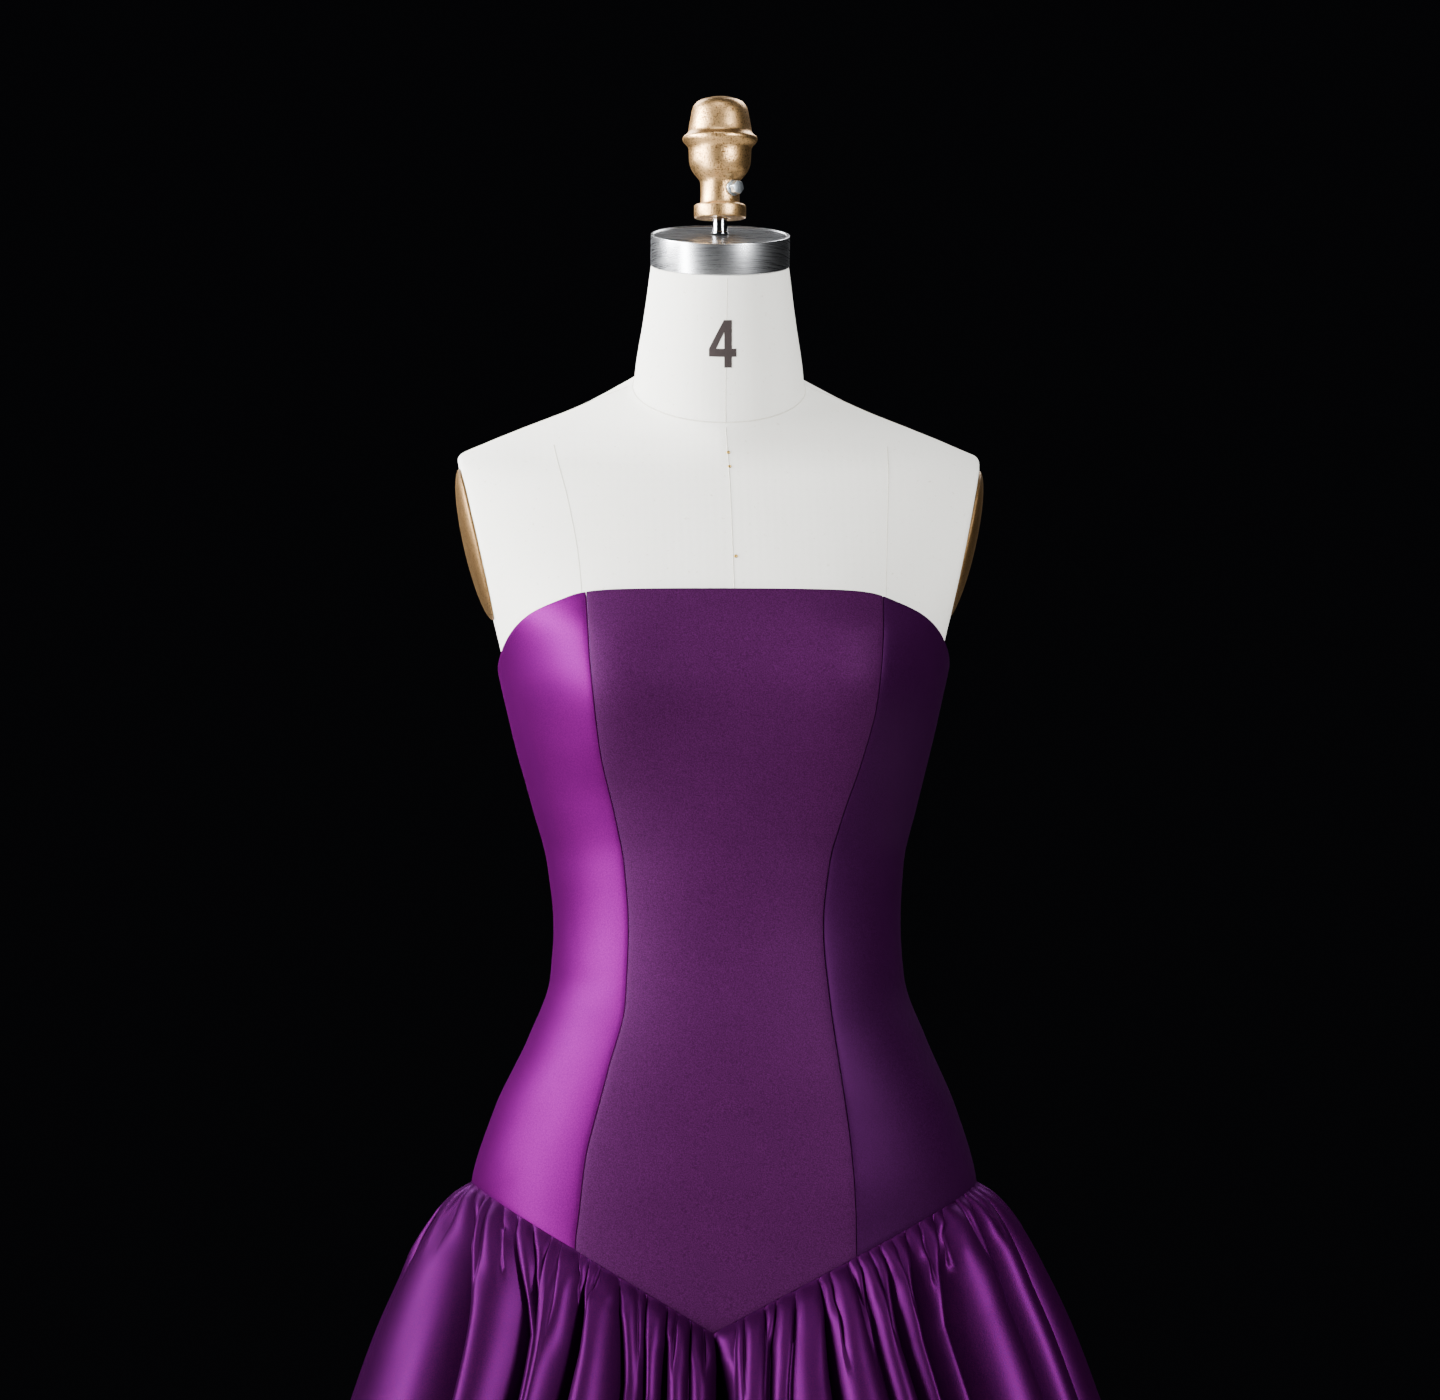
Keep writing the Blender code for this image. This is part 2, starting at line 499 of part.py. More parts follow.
def point_line(level):
    """The angle of the line that ends at the front's point."""
    climb = (level - WAIST_POINT["level"]) / (TOP_EDGE[0]["level"] - WAIST_POINT["level"])
    return angle_at(WAIST_POINT["side"] + (0.004 - WAIST_POINT["side"]) * max(0.0, climb), level)


def make_bodice(finish, collection):
    def front_lines(level):
        return [front_seam(level, "right"), point_line(level), front_seam(level, "left")]

    make_panel("bodice_front", front_lines, FRONT_COLUMNS, finish, collection)
    for side, hand in (("left", 1), ("right", -1)):
        panels = {
            "side_front": (SIDE_FRONT_COLUMNS, lambda z: [front_seam(z, side), hand * 90.0]),
            "side_back": (SIDE_BACK_COLUMNS, lambda z: [hand * 90.0, back_seam(z, side)]),
            "back": (BACK_COLUMNS, lambda z: [back_seam(z, side), hand * 180.0]),
        }
        for place, (columns, lines) in panels.items():
            make_panel(f"bodice_{place}_{side}", lines, columns, finish, collection)


def uneven_marks(count, jitter, source):
    """Marks from 0 to 1 at uneven distances."""
    steps = [1.0 + source.uniform(-jitter, jitter) for _ in range(count)]
    return [sum(steps[:k]) / sum(steps) for k in range(count + 1)]


def skirt_point(angle, down, inset, towards):
    """A point of the skirt: down is its share of the way from the seam to the hem, and inset its depth in a fold.

    towards is 1 at the half's first side seam and -1 at its last, where the cloth stops short of the seam's line.
    """
    seam = waist_seam(angle)
    start = figure_point(angle, seam, CLOTH_CLEARANCE)
    seam -= SEAM_GAP
    drop = (seam - HEM_LEVEL) * down
    flare = read_table(SKIRT_FLARE, "drop", "out", drop)
    turn = math.radians(angle)
    grown = min(1.0, drop / 0.25)
    boost = (FRONT_FLARE if math.cos(turn) > 0 else BACK_FLARE) - 1
    out = flare * (1 + boost * grown * math.cos(turn) ** 2) - inset
    trim = SEAM_GAP / 2 * towards
    x = start.x + math.sin(turn) * out + math.cos(turn) * trim
    return Vector((x, start.y - math.cos(turn) * out + math.sin(turn) * trim, seam - drop))


def fold_course(valley, drop):
    """A valley's angle at a drop: it leaves the seam squarely and then hangs."""
    start, foot = valley[:2]
    return start + (foot - start) * (1 - math.exp(-drop / FOLD_TURN))


def valley_depths(valleys, down, drop):
    """How deep each valley is at a drop: never steeper than its neighbours leave room for."""
    places = [skirt_point(fold_course(valley, drop), down, 0.0, 0.0) for valley in valleys]
    rooms = [(a - b).length for a, b in zip(places, places[1:])]
    rooms = [rooms[0]] + rooms + [rooms[-1]]
    depths = []
    for valley, left, right in zip(valleys, rooms, rooms[1:]):
        _, _, share, life = valley
        deepest = min(read_table(FOLD_DEPTH, "drop", "fold", drop), STEEPEST_FOLD * min(left, right))
        faded = min(1.0, max(0.0, (drop - life + FOLD_FADE / 2) / FOLD_FADE))
        depths.append(deepest * share * (1 - faded * faded * (3 - 2 * faded)))
    return depths


def make_skirt_half(name, valleys, source, finish, collection):
    """Half of the gathered skirt, from one side seam to the other: gathers stand between the folds' valleys."""
    marks = []
    for i, (near, far) in enumerate(zip(valleys, valleys[1:])):
        ends = [figure_point(valley[0], waist_seam(valley[0]), CLOTH_CLEARANCE) for valley in (near, far)]
        cuts = uneven_marks(max(1, round((ends[1] - ends[0]).length / GATHER_WIDTH)), 0.3, source)
        for low, high in zip(cuts, cuts[1:]):
            height = source.uniform(0.6, 1.0)
            for phase in range(COLUMNS_PER_GATHER):
                within = phase / COLUMNS_PER_GATHER
                rise = (0.5 - 0.5 * math.cos(2 * math.pi * within)) * height
                marks.append((i, low + (high - low) * within, rise))
    marks.append((len(valleys) - 2, 1.0, 0.0))
    rows = []
    for down in SKIRT_ROWS:
        row = []
        drop = (WAIST_SIDE - HEM_LEVEL) * down
        depths = valley_depths(valleys, down, drop)
        for k, (i, along, rise) in enumerate(marks):
            near, far = (fold_course(valleys[n], drop) for n in (i, i + 1))
            ridge = math.sin(math.pi * min(1.0, along)) ** 0.85
            inset = (depths[i] * (1 - along) + depths[i + 1] * along) * (1 - ridge)
            inset += read_table(FOLD_DEPTH, "drop", "gather", drop) * (1 - rise)
            towards = {0: 1.0, len(marks) - 1: -1.0}.get(k, 0.0)
            row.append(skirt_point(near + (far - near) * along, down, inset, towards))
        rows.append(row)
    rows.reverse()
    half = grid_object(name, rows, finish, collection)
    side = rows[0][len(marks) // 2]
    middle = half.data.polygons[len(marks) // 2]
    if middle.normal.dot(Vector((side.x, side.y, 0))) < 0:
        half.data.flip_normals()
    add_wall(half, SKIRT_WALL, -1)
    return half


def make_zip(finish, collection, tools):
    """The slider at the top of the back seam, with two ears and a pin, and the pull that hangs on the pin."""
    level = top_edge(180.0) - SLIDER["below_edge"]
    wall = CLOTH_CLEARANCE + BODICE_WALL
    surface = figure_point(180.0, level, wall)
    above = figure_point(180.0, level + 0.01, wall)
    lean = math.atan2(above.y - surface.y, above.z - surface.z)
    body_y = SEAM_GAP + SLIDER["thickness"] / 2
    pin_y = SEAM_GAP + SLIDER["thickness"] + EAR["height"] / 2
    on_cloth = Matrix.Translation(surface) @ Matrix.Rotation(-lean, 4, "X")
    on_pin = Matrix.Translation(on_cloth @ Vector((0, pin_y, 0)))

    def box(size, middle):
        mesh = bmesh.new()
        bmesh.ops.create_cube(mesh, size=1.0, matrix=Matrix.Translation(middle) @ Matrix.Diagonal((*size, 1.0)))
        return mesh

    def rod(radius, length, middle, sides):
        mesh = bmesh.new()
        turn = Matrix.Translation(middle) @ Matrix.Rotation(math.radians(90), 4, "Y")
        bmesh.ops.create_cone(mesh, cap_ends=True, segments=sides, radius1=radius, radius2=radius,
                              depth=length, matrix=turn)
        return mesh

    def tool(name, mesh, place):
        obj = finish_mesh(name, mesh, finish, tools, smooth=False)
        obj.hide_render = True
        obj.display_type = "WIRE"
        obj.matrix_world = place
        return obj

    def combine(obj, other, operation):
        step = obj.modifiers.new(operation.lower(), "BOOLEAN")
        step.operation = operation
        step.object = other

    width, length, thickness = SLIDER["width"], SLIDER["length"], SLIDER["thickness"]
    body = box((width, thickness, length), (0, body_y, 0))
    slider = finish_mesh("zip_slider", body, finish, collection, smooth=False)
    slider.matrix_world = on_cloth
    ear_x = width / 2 - EAR["thickness"] / 2
    ear_y = SEAM_GAP + thickness + EAR["height"] / 2 - 0.0003
    for hand in (1, -1):
        ear = box((EAR["thickness"], EAR["height"] + 0.0006, EAR["length"]), (hand * ear_x, ear_y, 0))
        combine(slider, tool(f"ear_{hand}", ear, on_cloth), "UNION")
    pin = rod(PIN_RADIUS, width - EAR["thickness"], (0, pin_y, 0), 10)
    combine(slider, tool("pin", pin, on_cloth), "UNION")

    drop = PULL["length"]
    barrel = rod(PULL["barrel_radius"], PULL["width"], (0, 0, 0), 14)
    pull = finish_mesh("zip_pull", barrel, finish, collection, smooth=False)
    pull.matrix_world = on_pin
    tab = bmesh.new()
    outline = [(-0.5 * PULL["width"], 0.0), (0.5 * PULL["width"], 0.0), (0.5 * PULL["end_width"], -0.72 * drop),
               (0.36 * PULL["end_width"], -0.93 * drop), (0.0, -drop), (-0.36 * PULL["end_width"], -0.93 * drop),
               (-0.5 * PULL["end_width"], -0.72 * drop)]
    face = tab.faces.new([tab.verts.new((x, -PULL["thickness"] / 2, z)) for x, z in outline])
    grown = bmesh.ops.extrude_face_region(tab, geom=[face])
    moved = [item for item in grown["geom"] if isinstance(item, bmesh.types.BMVert)]
    bmesh.ops.translate(tab, vec=(0, PULL["thickness"], 0), verts=moved)
    combine(pull, tool("tab", tab, on_pin), "UNION")
    bore = rod(PULL["bore_radius"], PULL["width"] * 2, (0, 0, 0), 14)
    combine(pull, tool("bore", bore, on_pin), "DIFFERENCE")


def make_stand(finish, steel, collection):
    cylinder_object("stand_base", BASE_RADIUS, 0.0, BASE_THICKNESS, BASE_SIDES, finish, collection, bevel=0.004)
    socket_low = BASE_THICKNESS + SEAM_GAP
    socket_top = socket_low + SOCKET_HEIGHT
    cylinder_object("stand_socket", SOCKET_RADIUS, socket_low, socket_top, 24, finish, collection, bevel=0.003)
    flange_top = FORM_BOTTOM - 0.006 - SEAM_GAP
    flange_low = flange_top - FLANGE_THICKNESS
    cylinder_object("form_flange", FLANGE_RADIUS, flange_low, flange_top, 24, steel, collection)
    pole_low, pole_high = socket_top + SEAM_GAP, flange_low - SEAM_GAP
    cylinder_object("stand_pole", POLE_RADIUS, pole_low, pole_high, 20, steel, collection)


def main():
    clear_scene()
    parts = new_collection("evening_dress_on_form")
    satin = material("violet_satin", (0.13, 0.02, 0.17), 0.38)
    canvas = material("natural_canvas", (0.80, 0.78, 0.72), 0.85)
    bronze = material("cast_bronze_paint", (0.56, 0.38, 0.18), 0.38, 0.9)
    steel = material("brushed_steel", (0.55, 0.55, 0.57), 0.3, 1.0)
    iron = material("black_cast_iron", (0.03, 0.03, 0.032), 0.5, 0.4)
    zip_metal = material("violet_lacquered_zip", (0.16, 0.03, 0.2), 0.3, 0.5)

    make_stand(iron, steel, parts)
    make_form(canvas, parts)
    make_arm_plate("arm_plate_left", 1, bronze, parts)
    make_arm_plate("arm_plate_right", -1, bronze, parts)
    make_neck_cap(steel, parts)
    make_stem(steel, parts)
    turned_object("knob", KNOB, KNOB_FOOT, KNOB_SIDES, bronze, parts)
    make_set_screw(steel, parts)
    make_bodice(satin, parts)
    source = random.Random(SEED)
    make_skirt_half("skirt_front", FRONT_VALLEYS, source, satin, parts)
    make_skirt_half("skirt_back", BACK_VALLEYS, source, satin, parts)
    make_zip(zip_metal, parts, new_collection("cutting_tools"))


main()
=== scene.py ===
"""How the violet evening dress and its dress form look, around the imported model.

Metres, +Z up. The front faces -Y. Angles run from the front, 0, by +X, 90, to the back, 180 degrees.
"""

import math
import random

import bmesh
import bpy
import numpy as np
from mathutils import Matrix, Vector, noise


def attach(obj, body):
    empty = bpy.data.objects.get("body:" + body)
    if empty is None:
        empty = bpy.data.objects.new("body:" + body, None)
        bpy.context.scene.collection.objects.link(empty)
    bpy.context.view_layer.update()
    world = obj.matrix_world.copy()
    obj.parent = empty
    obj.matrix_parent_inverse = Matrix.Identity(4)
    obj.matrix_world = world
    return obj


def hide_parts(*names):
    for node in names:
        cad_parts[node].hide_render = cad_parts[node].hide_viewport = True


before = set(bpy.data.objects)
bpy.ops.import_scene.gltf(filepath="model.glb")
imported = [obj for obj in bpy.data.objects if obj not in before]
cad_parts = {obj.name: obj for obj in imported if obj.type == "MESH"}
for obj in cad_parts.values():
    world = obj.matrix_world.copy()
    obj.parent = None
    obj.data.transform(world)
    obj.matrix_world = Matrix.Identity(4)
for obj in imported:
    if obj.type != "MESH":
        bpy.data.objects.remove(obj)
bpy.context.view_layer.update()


# The view
# A long lens, level with the waist and a little to the wearer's right. The frame is shifted up, so
# that uprights stay upright.
VIEW = dict(distance=4.0, height=1.045, turn=-3.0, lens=142.857, shift=0.1597)


def round_place(turn, distance, height):
    """A place at an angle from the front, seen from above. Negative angles are at the wearer's right."""
    around = math.radians(turn)
    return Vector((math.sin(around) * distance, -math.cos(around) * distance, height))


def new_object(name, data):
    """An object that holds some data, linked into the scene."""
    made = bpy.data.objects.new(name, data)
    bpy.context.scene.collection.objects.link(made)
    return made


camera = new_object("camera", bpy.data.cameras.new("camera"))
camera.data.sensor_width = 36.0
camera.data.lens = VIEW["lens"]
camera.data.shift_y = VIEW["shift"]
camera.location = round_place(VIEW["turn"], VIEW["distance"], VIEW["height"])
camera.rotation_euler = (math.radians(90.0), 0.0, math.radians(VIEW["turn"]))
bpy.context.scene.camera = camera


# The studio
# A tall soft box and a higher one at the wearer's right, a dim one there for the neck, a weaker one at
# the left, and high ones in front and behind. The room is dark, and the floor is a plain pale sheet.
LIGHTS = [
    # name, angle, distance, height, width, tallness, power in watts, the height it is aimed at, and spread
    ("right_hand_box", -64.0, 2.6, 1.28, 0.60, 2.5, 188.0, 1.15, 180.0),
    ("right_side_box", -97.0, 2.3, 2.5, 0.70, 1.0, 54.0, 1.25, 180.0),
    ("neck_box", -88.0, 2.0, 2.1, 0.80, 0.9, 10.0, 1.60, 38.0),
    ("left_hand_box", 36.0, 2.8, 1.95, 0.42, 1.1, 118.0, 1.40, 180.0),
    ("high_front_box", -10.0, 1.5, 3.8, 1.8, 1.2, 24.0, 1.3, 180.0),
    ("right_back_box", -150.0, 2.5, 3.3, 1.4, 1.0, 60.0, 0.9, 180.0),
    ("left_back_box", 150.0, 2.5, 3.3, 1.4, 1.0, 44.0, 0.9, 180.0),
]
FLOOR_SIZE = 6.0
ROOM = "#08080A"


def colour(hex_value):
    """A six-figure sRGB value as linear red, green, blue and 1."""
    parts = [int(hex_value[i:i + 2], 16) / 255 for i in (1, 3, 5)]
    return (*[p / 12.92 if p <= 0.04045 else ((p + 0.055) / 1.055) ** 2.4 for p in parts], 1.0)


def add_node(tree, kind, settings, inputs):
    """A node with its settings, and with its inputs set or linked."""
    made = tree.nodes.new("ShaderNode" + kind)
    for key, value in settings.items():
        setattr(made, key, value)
    for key, value in inputs.items():
        if isinstance(value, bpy.types.NodeSocket):
            tree.links.new(value, made.inputs[key])
        else:
            made.inputs[key].default_value = value
    return made


def new_finish(name, **settings):
    """A material with its shader's plain values set, its nodes, and the place of a point on the piece."""
    made = bpy.data.materials.new(name)
    made.use_nodes = True
    tree = made.node_tree
    shader = tree.nodes["Principled BSDF"]
    for key, value in settings.items():
        shader.inputs[key.replace("_", " ")].default_value = value
    place = add_node(tree, "TexCoord", {}, {}).outputs["Object"]
    return made, tree, shader, place


def two_tones(tree, shader, place, scale, first, second, detail=2.0):
    """Colours a finish with two tones in soft patches, whose size is one over the scale."""
    patches = add_node(tree, "TexNoise", {}, {"Vector": place, "Scale": scale, "Detail": detail})
    tint = add_node(tree, "Mix", {"data_type": "RGBA"},
                    {0: patches.outputs["Fac"], 6: colour(first), 7: colour(second)})
    tree.links.new(tint.outputs[2], shader.inputs["Base Color"])


def clear_selection():
    bpy.ops.object.select_all(action="DESELECT")


for name, turn, distance, height, width, tall, power, aim, spread in LIGHTS:
    lamp = bpy.data.lights.new(name, "AREA")
    lamp.shape = "RECTANGLE"
    lamp.size = width
    lamp.size_y = tall
    lamp.energy = power
    lamp.spread = math.radians(spread)
    light = new_object(name, lamp)
    light.location = round_place(turn, distance, height)
    facing = Vector((0, 0, aim)) - light.location
    light.rotation_euler = facing.to_track_quat("-Z", "Y").to_euler()

room = bpy.data.worlds.new("dark_room")
bpy.context.scene.world = room
room.use_nodes = True
room.node_tree.nodes["Background"].inputs["Color"].default_value = colour(ROOM)

clear_selection()
bpy.ops.mesh.primitive_plane_add(size=FLOOR_SIZE, location=(0.0, 0.0, -0.0005))
floor = bpy.context.object
floor.name = "studio_floor"
bpy.ops.object.transform_apply(location=True)
floor_paint, tree, shader, place = new_finish("matt_floor_paint", Roughness=0.8)
two_tones(tree, shader, place, 3.0, "#BDBBB6", "#C7C5C0")
floor.data.materials.append(floor_paint)


# The form's body
# A stuffed torso and neck in stout cotton canvas, cut in panels and glued and sewn over a moulded shell.
# It is one smooth loft here, cut flat at the armholes, in the shape of the solid that it covers.
FIGURE = np.array([
    # level, half width, depth in front and behind, squareness in front and behind, the middle's place
    # across and along, and the rise towards the back
    (0.700, 0.1690, 0.098, 0.108, 2.3, 2.2, 0.003, 0.004, 0.0),
    (0.760, 0.1750, 0.102, 0.116, 2.3, 2.2, 0.003, 0.004, 0.0),
    (0.830, 0.1765, 0.104, 0.122, 2.3, 2.2, 0.003, 0.004, 0.0),
    (0.868, 0.1732, 0.105, 0.120, 2.3, 2.2, 0.003, 0.003, 0.0),
    (0.920, 0.1578, 0.104, 0.109, 2.3, 2.2, 0.004, 0.002, 0.0),
    (0.970, 0.1353, 0.099, 0.095, 2.2, 2.2, 0.005, 0.0, 0.0),
    (1.012, 0.1205, 0.092, 0.086, 2.1, 2.2, 0.005, 0.0, 0.0),
    (1.050, 0.1178, 0.089, 0.084, 2.1, 2.2, 0.005, 0.0, 0.0),
    (1.092, 0.1210, 0.092, 0.087, 2.1, 2.2, 0.004, 0.0, 0.0),
    (1.130, 0.1305, 0.099, 0.093, 2.2, 2.3, 0.003, 0.0, 0.0),
    (1.175, 0.1422, 0.112, 0.098, 2.3, 2.4, 0.002, 0.0, 0.0),
    (1.220, 0.1524, 0.123, 0.102, 2.4, 2.5, 0.002, 0.0, 0.0),
    (1.245, 0.1585, 0.122, 0.105, 2.4, 2.5, 0.001, 0.0, 0.0),
    (1.275, 0.1720, 0.114, 0.109, 2.3, 2.5, 0.0, 0.001, 0.03),
    (1.305, 0.1850, 0.101, 0.111, 2.2, 2.4, 0.0, 0.002, 0.07),
    (1.335, 0.1920, 0.088, 0.109, 2.1, 2.3, 0.0, 0.004, 0.12),
    (1.358, 0.1930, 0.078, 0.103, 2.0, 2.2, 0.0, 0.006, 0.17),
    (1.373, 0.1880, 0.071, 0.096, 1.9, 2.0, 0.0, 0.008, 0.22),
    (1.382, 0.1700, 0.067, 0.091, 1.7, 1.8, 0.0, 0.009, 0.26),
    (1.391, 0.1490, 0.064, 0.085, 1.5, 1.6, 0.0, 0.010, 0.30),
    (1.405, 0.1110, 0.061, 0.076, 1.4, 1.5, 0.0, 0.011, 0.38),
    (1.417, 0.0803, 0.059, 0.070, 1.6, 1.7, 0.0, 0.012, 0.45),
    (1.4225, 0.0660, 0.0585, 0.067, 1.8, 1.8, 0.0, 0.012, 0.49),
    (1.4258, 0.0602, 0.057, 0.063, 2.0, 2.0, 0.0, 0.012, 0.51),
    (1.442, 0.0582, 0.054, 0.060, 2.0, 2.0, 0.0, 0.010, 0.42),
    (1.472, 0.0533, 0.050, 0.053, 2.0, 2.0, 0.0, 0.005, 0.31),
    (1.5098, 0.0482, 0.0467, 0.0467, 2.0, 2.0, 0.0, 0.0, 0.26),
])
BUST = dict(out=0.016, side=0.092, level=1.205, width=0.045, height=0.060)
ARMHOLE_LOW = Vector((0.1525, 0.0, 1.2396))
ARMHOLE_TOP = Vector((0.1828, 0.0, 1.373))
FORM_ROW = 0.005
FOOT_TURN = 0.006
RIM_ROUND = 0.0035
RIM_CUTS = (1.0, 0.7, 0.42, 0.2, 0.06, 0.0)
PLATE_SET_BACK = 0.004
FORM_COLUMNS = 144


def smooth_table(xs, ys, at):
    """Smooth values between the rows of a table, with no overshoot."""
    gaps = np.diff(xs)
    rises = np.diff(ys) / gaps
    before, after = rises[:-1], rises[1:]
    same_way = before * after > 0
    inner = np.where(same_way, 2 * before * after / np.where(same_way, before + after, 1.0), 0.0)
    slopes = np.concatenate(([rises[0]], inner, [rises[-1]]))
    at = np.clip(at, xs[0], xs[-1])
    i = np.clip(np.searchsorted(xs, at, side="right") - 1, 0, len(gaps) - 1)
    t = (at - xs[i]) / gaps[i]
    start = ys[i] * (1 + 2 * t) * (1 - t) ** 2 + gaps[i] * slopes[i] * t * (1 - t) ** 2
    return start + ys[i + 1] * t * t * (3 - 2 * t) - gaps[i] * slopes[i + 1] * t * t * (1 - t)


def figure_value(column, level):
    """A column of the figure's table at a level."""
    return smooth_table(FIGURE[:, 0], FIGURE[:, column], level)


def ring_reach(angle, level, out):
    """How far the figure's edge is from its middle, in the direction of an angle."""
    half, front, back, square, square_back = (figure_value(k, level) for k in range(1, 6))
    s, c = np.abs(np.sin(np.radians(angle))), np.cos(np.radians(angle))
    depth = np.where(c >= 0, front, back) + out
    power = np.where(c >= 0, square, square_back)
    return ((s / (half + out)) ** power + (np.abs(c) / depth) ** power) ** (-1 / power)


def figure_points(angle, level, out=0.0):
    """Points of the figure's surface, moved out by a distance."""
    angle, level, out = np.broadcast_arrays(np.asarray(angle, float), np.asarray(level, float), out)
    aside, centre, rise = (figure_value(k, level) for k in (6, 7, 8))
    reach = ring_reach(angle, level, out)
    s, c = np.sin(np.radians(angle)), np.cos(np.radians(angle))
    across = (np.abs(reach * s) - BUST["side"]) / BUST["width"]
    upward = (level - BUST["level"]) / BUST["height"]
    swell = BUST["out"] * np.exp(-across ** 2 - upward ** 2) * np.clip(4 * c, 0.0, 1.0)
    y = -reach * c - swell
    return np.stack((aside + reach * s, centre + y, level + rise * y), axis=-1)


def grid_mesh(name, points, closed=False):
    """An object of quads through rows of points. closed joins each row's ends."""
    rows, columns = points.shape[:2]
    spans = columns if closed else columns - 1
    faces = []
    for r in range(rows - 1):
        for k in range(spans):
            here, beside = r * columns + k, r * columns + (k + 1) % columns
            faces.append((here, beside, beside + columns, here + columns))
    mesh = bpy.data.meshes.new(name)
    mesh.from_pydata(points.reshape(-1, 3).tolist(), [], faces)
    mesh.shade_smooth()
    return new_object(name, mesh)


def make_active(piece):
    """Selects one object only, for the operators that follow."""
    clear_selection()
    piece.select_set(True)
    bpy.context.view_layer.objects.active = piece


def apply_modifier(piece, kind, **settings):
    made = piece.modifiers.new(kind.lower(), kind)
    for key, value in settings.items():
        setattr(made, key, value)
    make_active(piece)
    bpy.ops.object.modifier_apply(modifier=made.name)


def smooth_below(piece, degrees):
    """Shades a piece smooth, but sharp at edges where its faces turn by more than an angle."""
    piece.data.shade_smooth()
    piece.data.set_sharp_from_angle(angle=math.radians(degrees))


def finish_piece(piece, finish, body="dressed_form", hides=()):
    """The last steps of a piece: its material, its body and the nodes that it stands for."""
    piece.data.materials.clear()
    piece.data.materials.append(finish)
    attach(piece, body)
    if hides:
        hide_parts(*hides)


levels = [FIGURE[-1, 0]]
for low, high in zip(FIGURE[:-1, 0], FIGURE[1:, 0]):
    steps = math.ceil((high - low) / FORM_ROW)
    levels += [low + (high - low) * i / steps for i in range(steps)]
levels = np.array(sorted(levels))
around = np.arange(FORM_COLUMNS) * 360.0 / FORM_COLUMNS
skin = figure_points(around[None, :], levels[:, None])
foot = figure_points(around[None, :], FIGURE[:1, :1], -FOOT_TURN) - np.array((0, 0, FOOT_TURN))
torso = grid_mesh("covered_torso", np.concatenate((foot, skin)), closed=True)
slope = (ARMHOLE_TOP - ARMHOLE_LOW).normalized()
body = bmesh.new()
body.from_mesh(torso.data)
for ring in (body.verts[:FORM_COLUMNS], body.verts[-FORM_COLUMNS:]):
    body.faces.new(ring)
for hand in (1, -1):
    outward = Vector((hand * slope.z, 0.0, -slope.x))
    seat = Vector((hand * ARMHOLE_LOW.x, 0.0, ARMHOLE_LOW.z))
    for share in RIM_CUTS:
        whole = body.verts[:] + body.edges[:] + body.faces[:]
        cut = bmesh.ops.bisect_plane(body, geom=whole, plane_co=seat - outward * RIM_ROUND * share,
                                     plane_no=outward, clear_outer=share == 0.0)
    centre = (ARMHOLE_LOW + ARMHOLE_TOP) / 2
    centre = Vector((hand * centre.x, PLATE_SET_BACK, centre.z))
    for vert in body.verts:
        past = RIM_ROUND + (vert.co - seat).dot(outward)
        if past > 0:
            inward = centre - vert.co
            inward = (inward - outward * inward.dot(outward)).normalized()
            vert.co += inward * (RIM_ROUND - math.sqrt(max(0.0, RIM_ROUND ** 2 - past ** 2)))
    rim = [item for item in cut["geom_cut"] if isinstance(item, bmesh.types.BMEdge)]
    bmesh.ops.contextual_create(body, geom=rim)
bmesh.ops.recalc_face_normals(body, faces=body.faces)
body.to_mesh(torso.data)
body.free()
smooth_below(torso, 50)

# Unbleached cotton canvas, washed nearly white: dull, with a plain weave of about two threads a
# millimetre, drawn three times as coarse so that it shows, and a few darker flecks of husk.
CANVAS_THREAD = 0.0015
canvas, tree, shader, place = new_finish("natural_cotton_canvas", Roughness=0.88, Sheen_Weight=0.15,
                                         Sheen_Roughness=0.5, Specular_IOR_Level=0.25)
cloud = add_node(tree, "TexNoise", {}, {"Vector": place, "Scale": 14.0, "Detail": 3.0})
fleck = add_node(tree, "TexNoise", {}, {"Vector": place, "Scale": 420.0, "Detail": 1.0})
few = add_node(tree, "MapRange", {},
               {"Value": fleck.outputs["Fac"], "From Min": 0.70, "From Max": 0.80, "To Max": 0.35})
base = add_node(tree, "Mix", {"data_type": "RGBA"},
                {0: cloud.outputs["Fac"], 6: colour("#F0EFE6"), 7: colour("#F8F7F1")})
spotted = add_node(tree, "Mix", {"data_type": "RGBA"},
                   {0: few.outputs["Result"], 6: base.outputs[2], 7: colour("#B9AF97")})
tree.links.new(spotted.outputs[2], shader.inputs["Base Color"])
threads = [add_node(tree, "TexWave", {"wave_type": "BANDS", "bands_direction": axis},
                    {"Vector": place, "Scale": 1 / (CANVAS_THREAD * 2 * 3.1416) * 0.5, "Distortion": 1.2,
                     "Detail": 1.0, "Detail Scale": 60.0}) for axis in ("X", "Z")]
weave = add_node(tree, "Math", {"operation": "MULTIPLY"},
                 {0: threads[0].outputs["Fac"], 1: threads[1].outputs["Fac"]})
relief = add_node(tree, "Bump", {},
                  {"Strength": 0.12, "Distance": 0.0006, "Height": weave.outputs[0]})
tree.links.new(relief.outputs["Normal"], shader.inputs["Normal"])
finish_piece(torso, canvas, hides=("form_torso",))


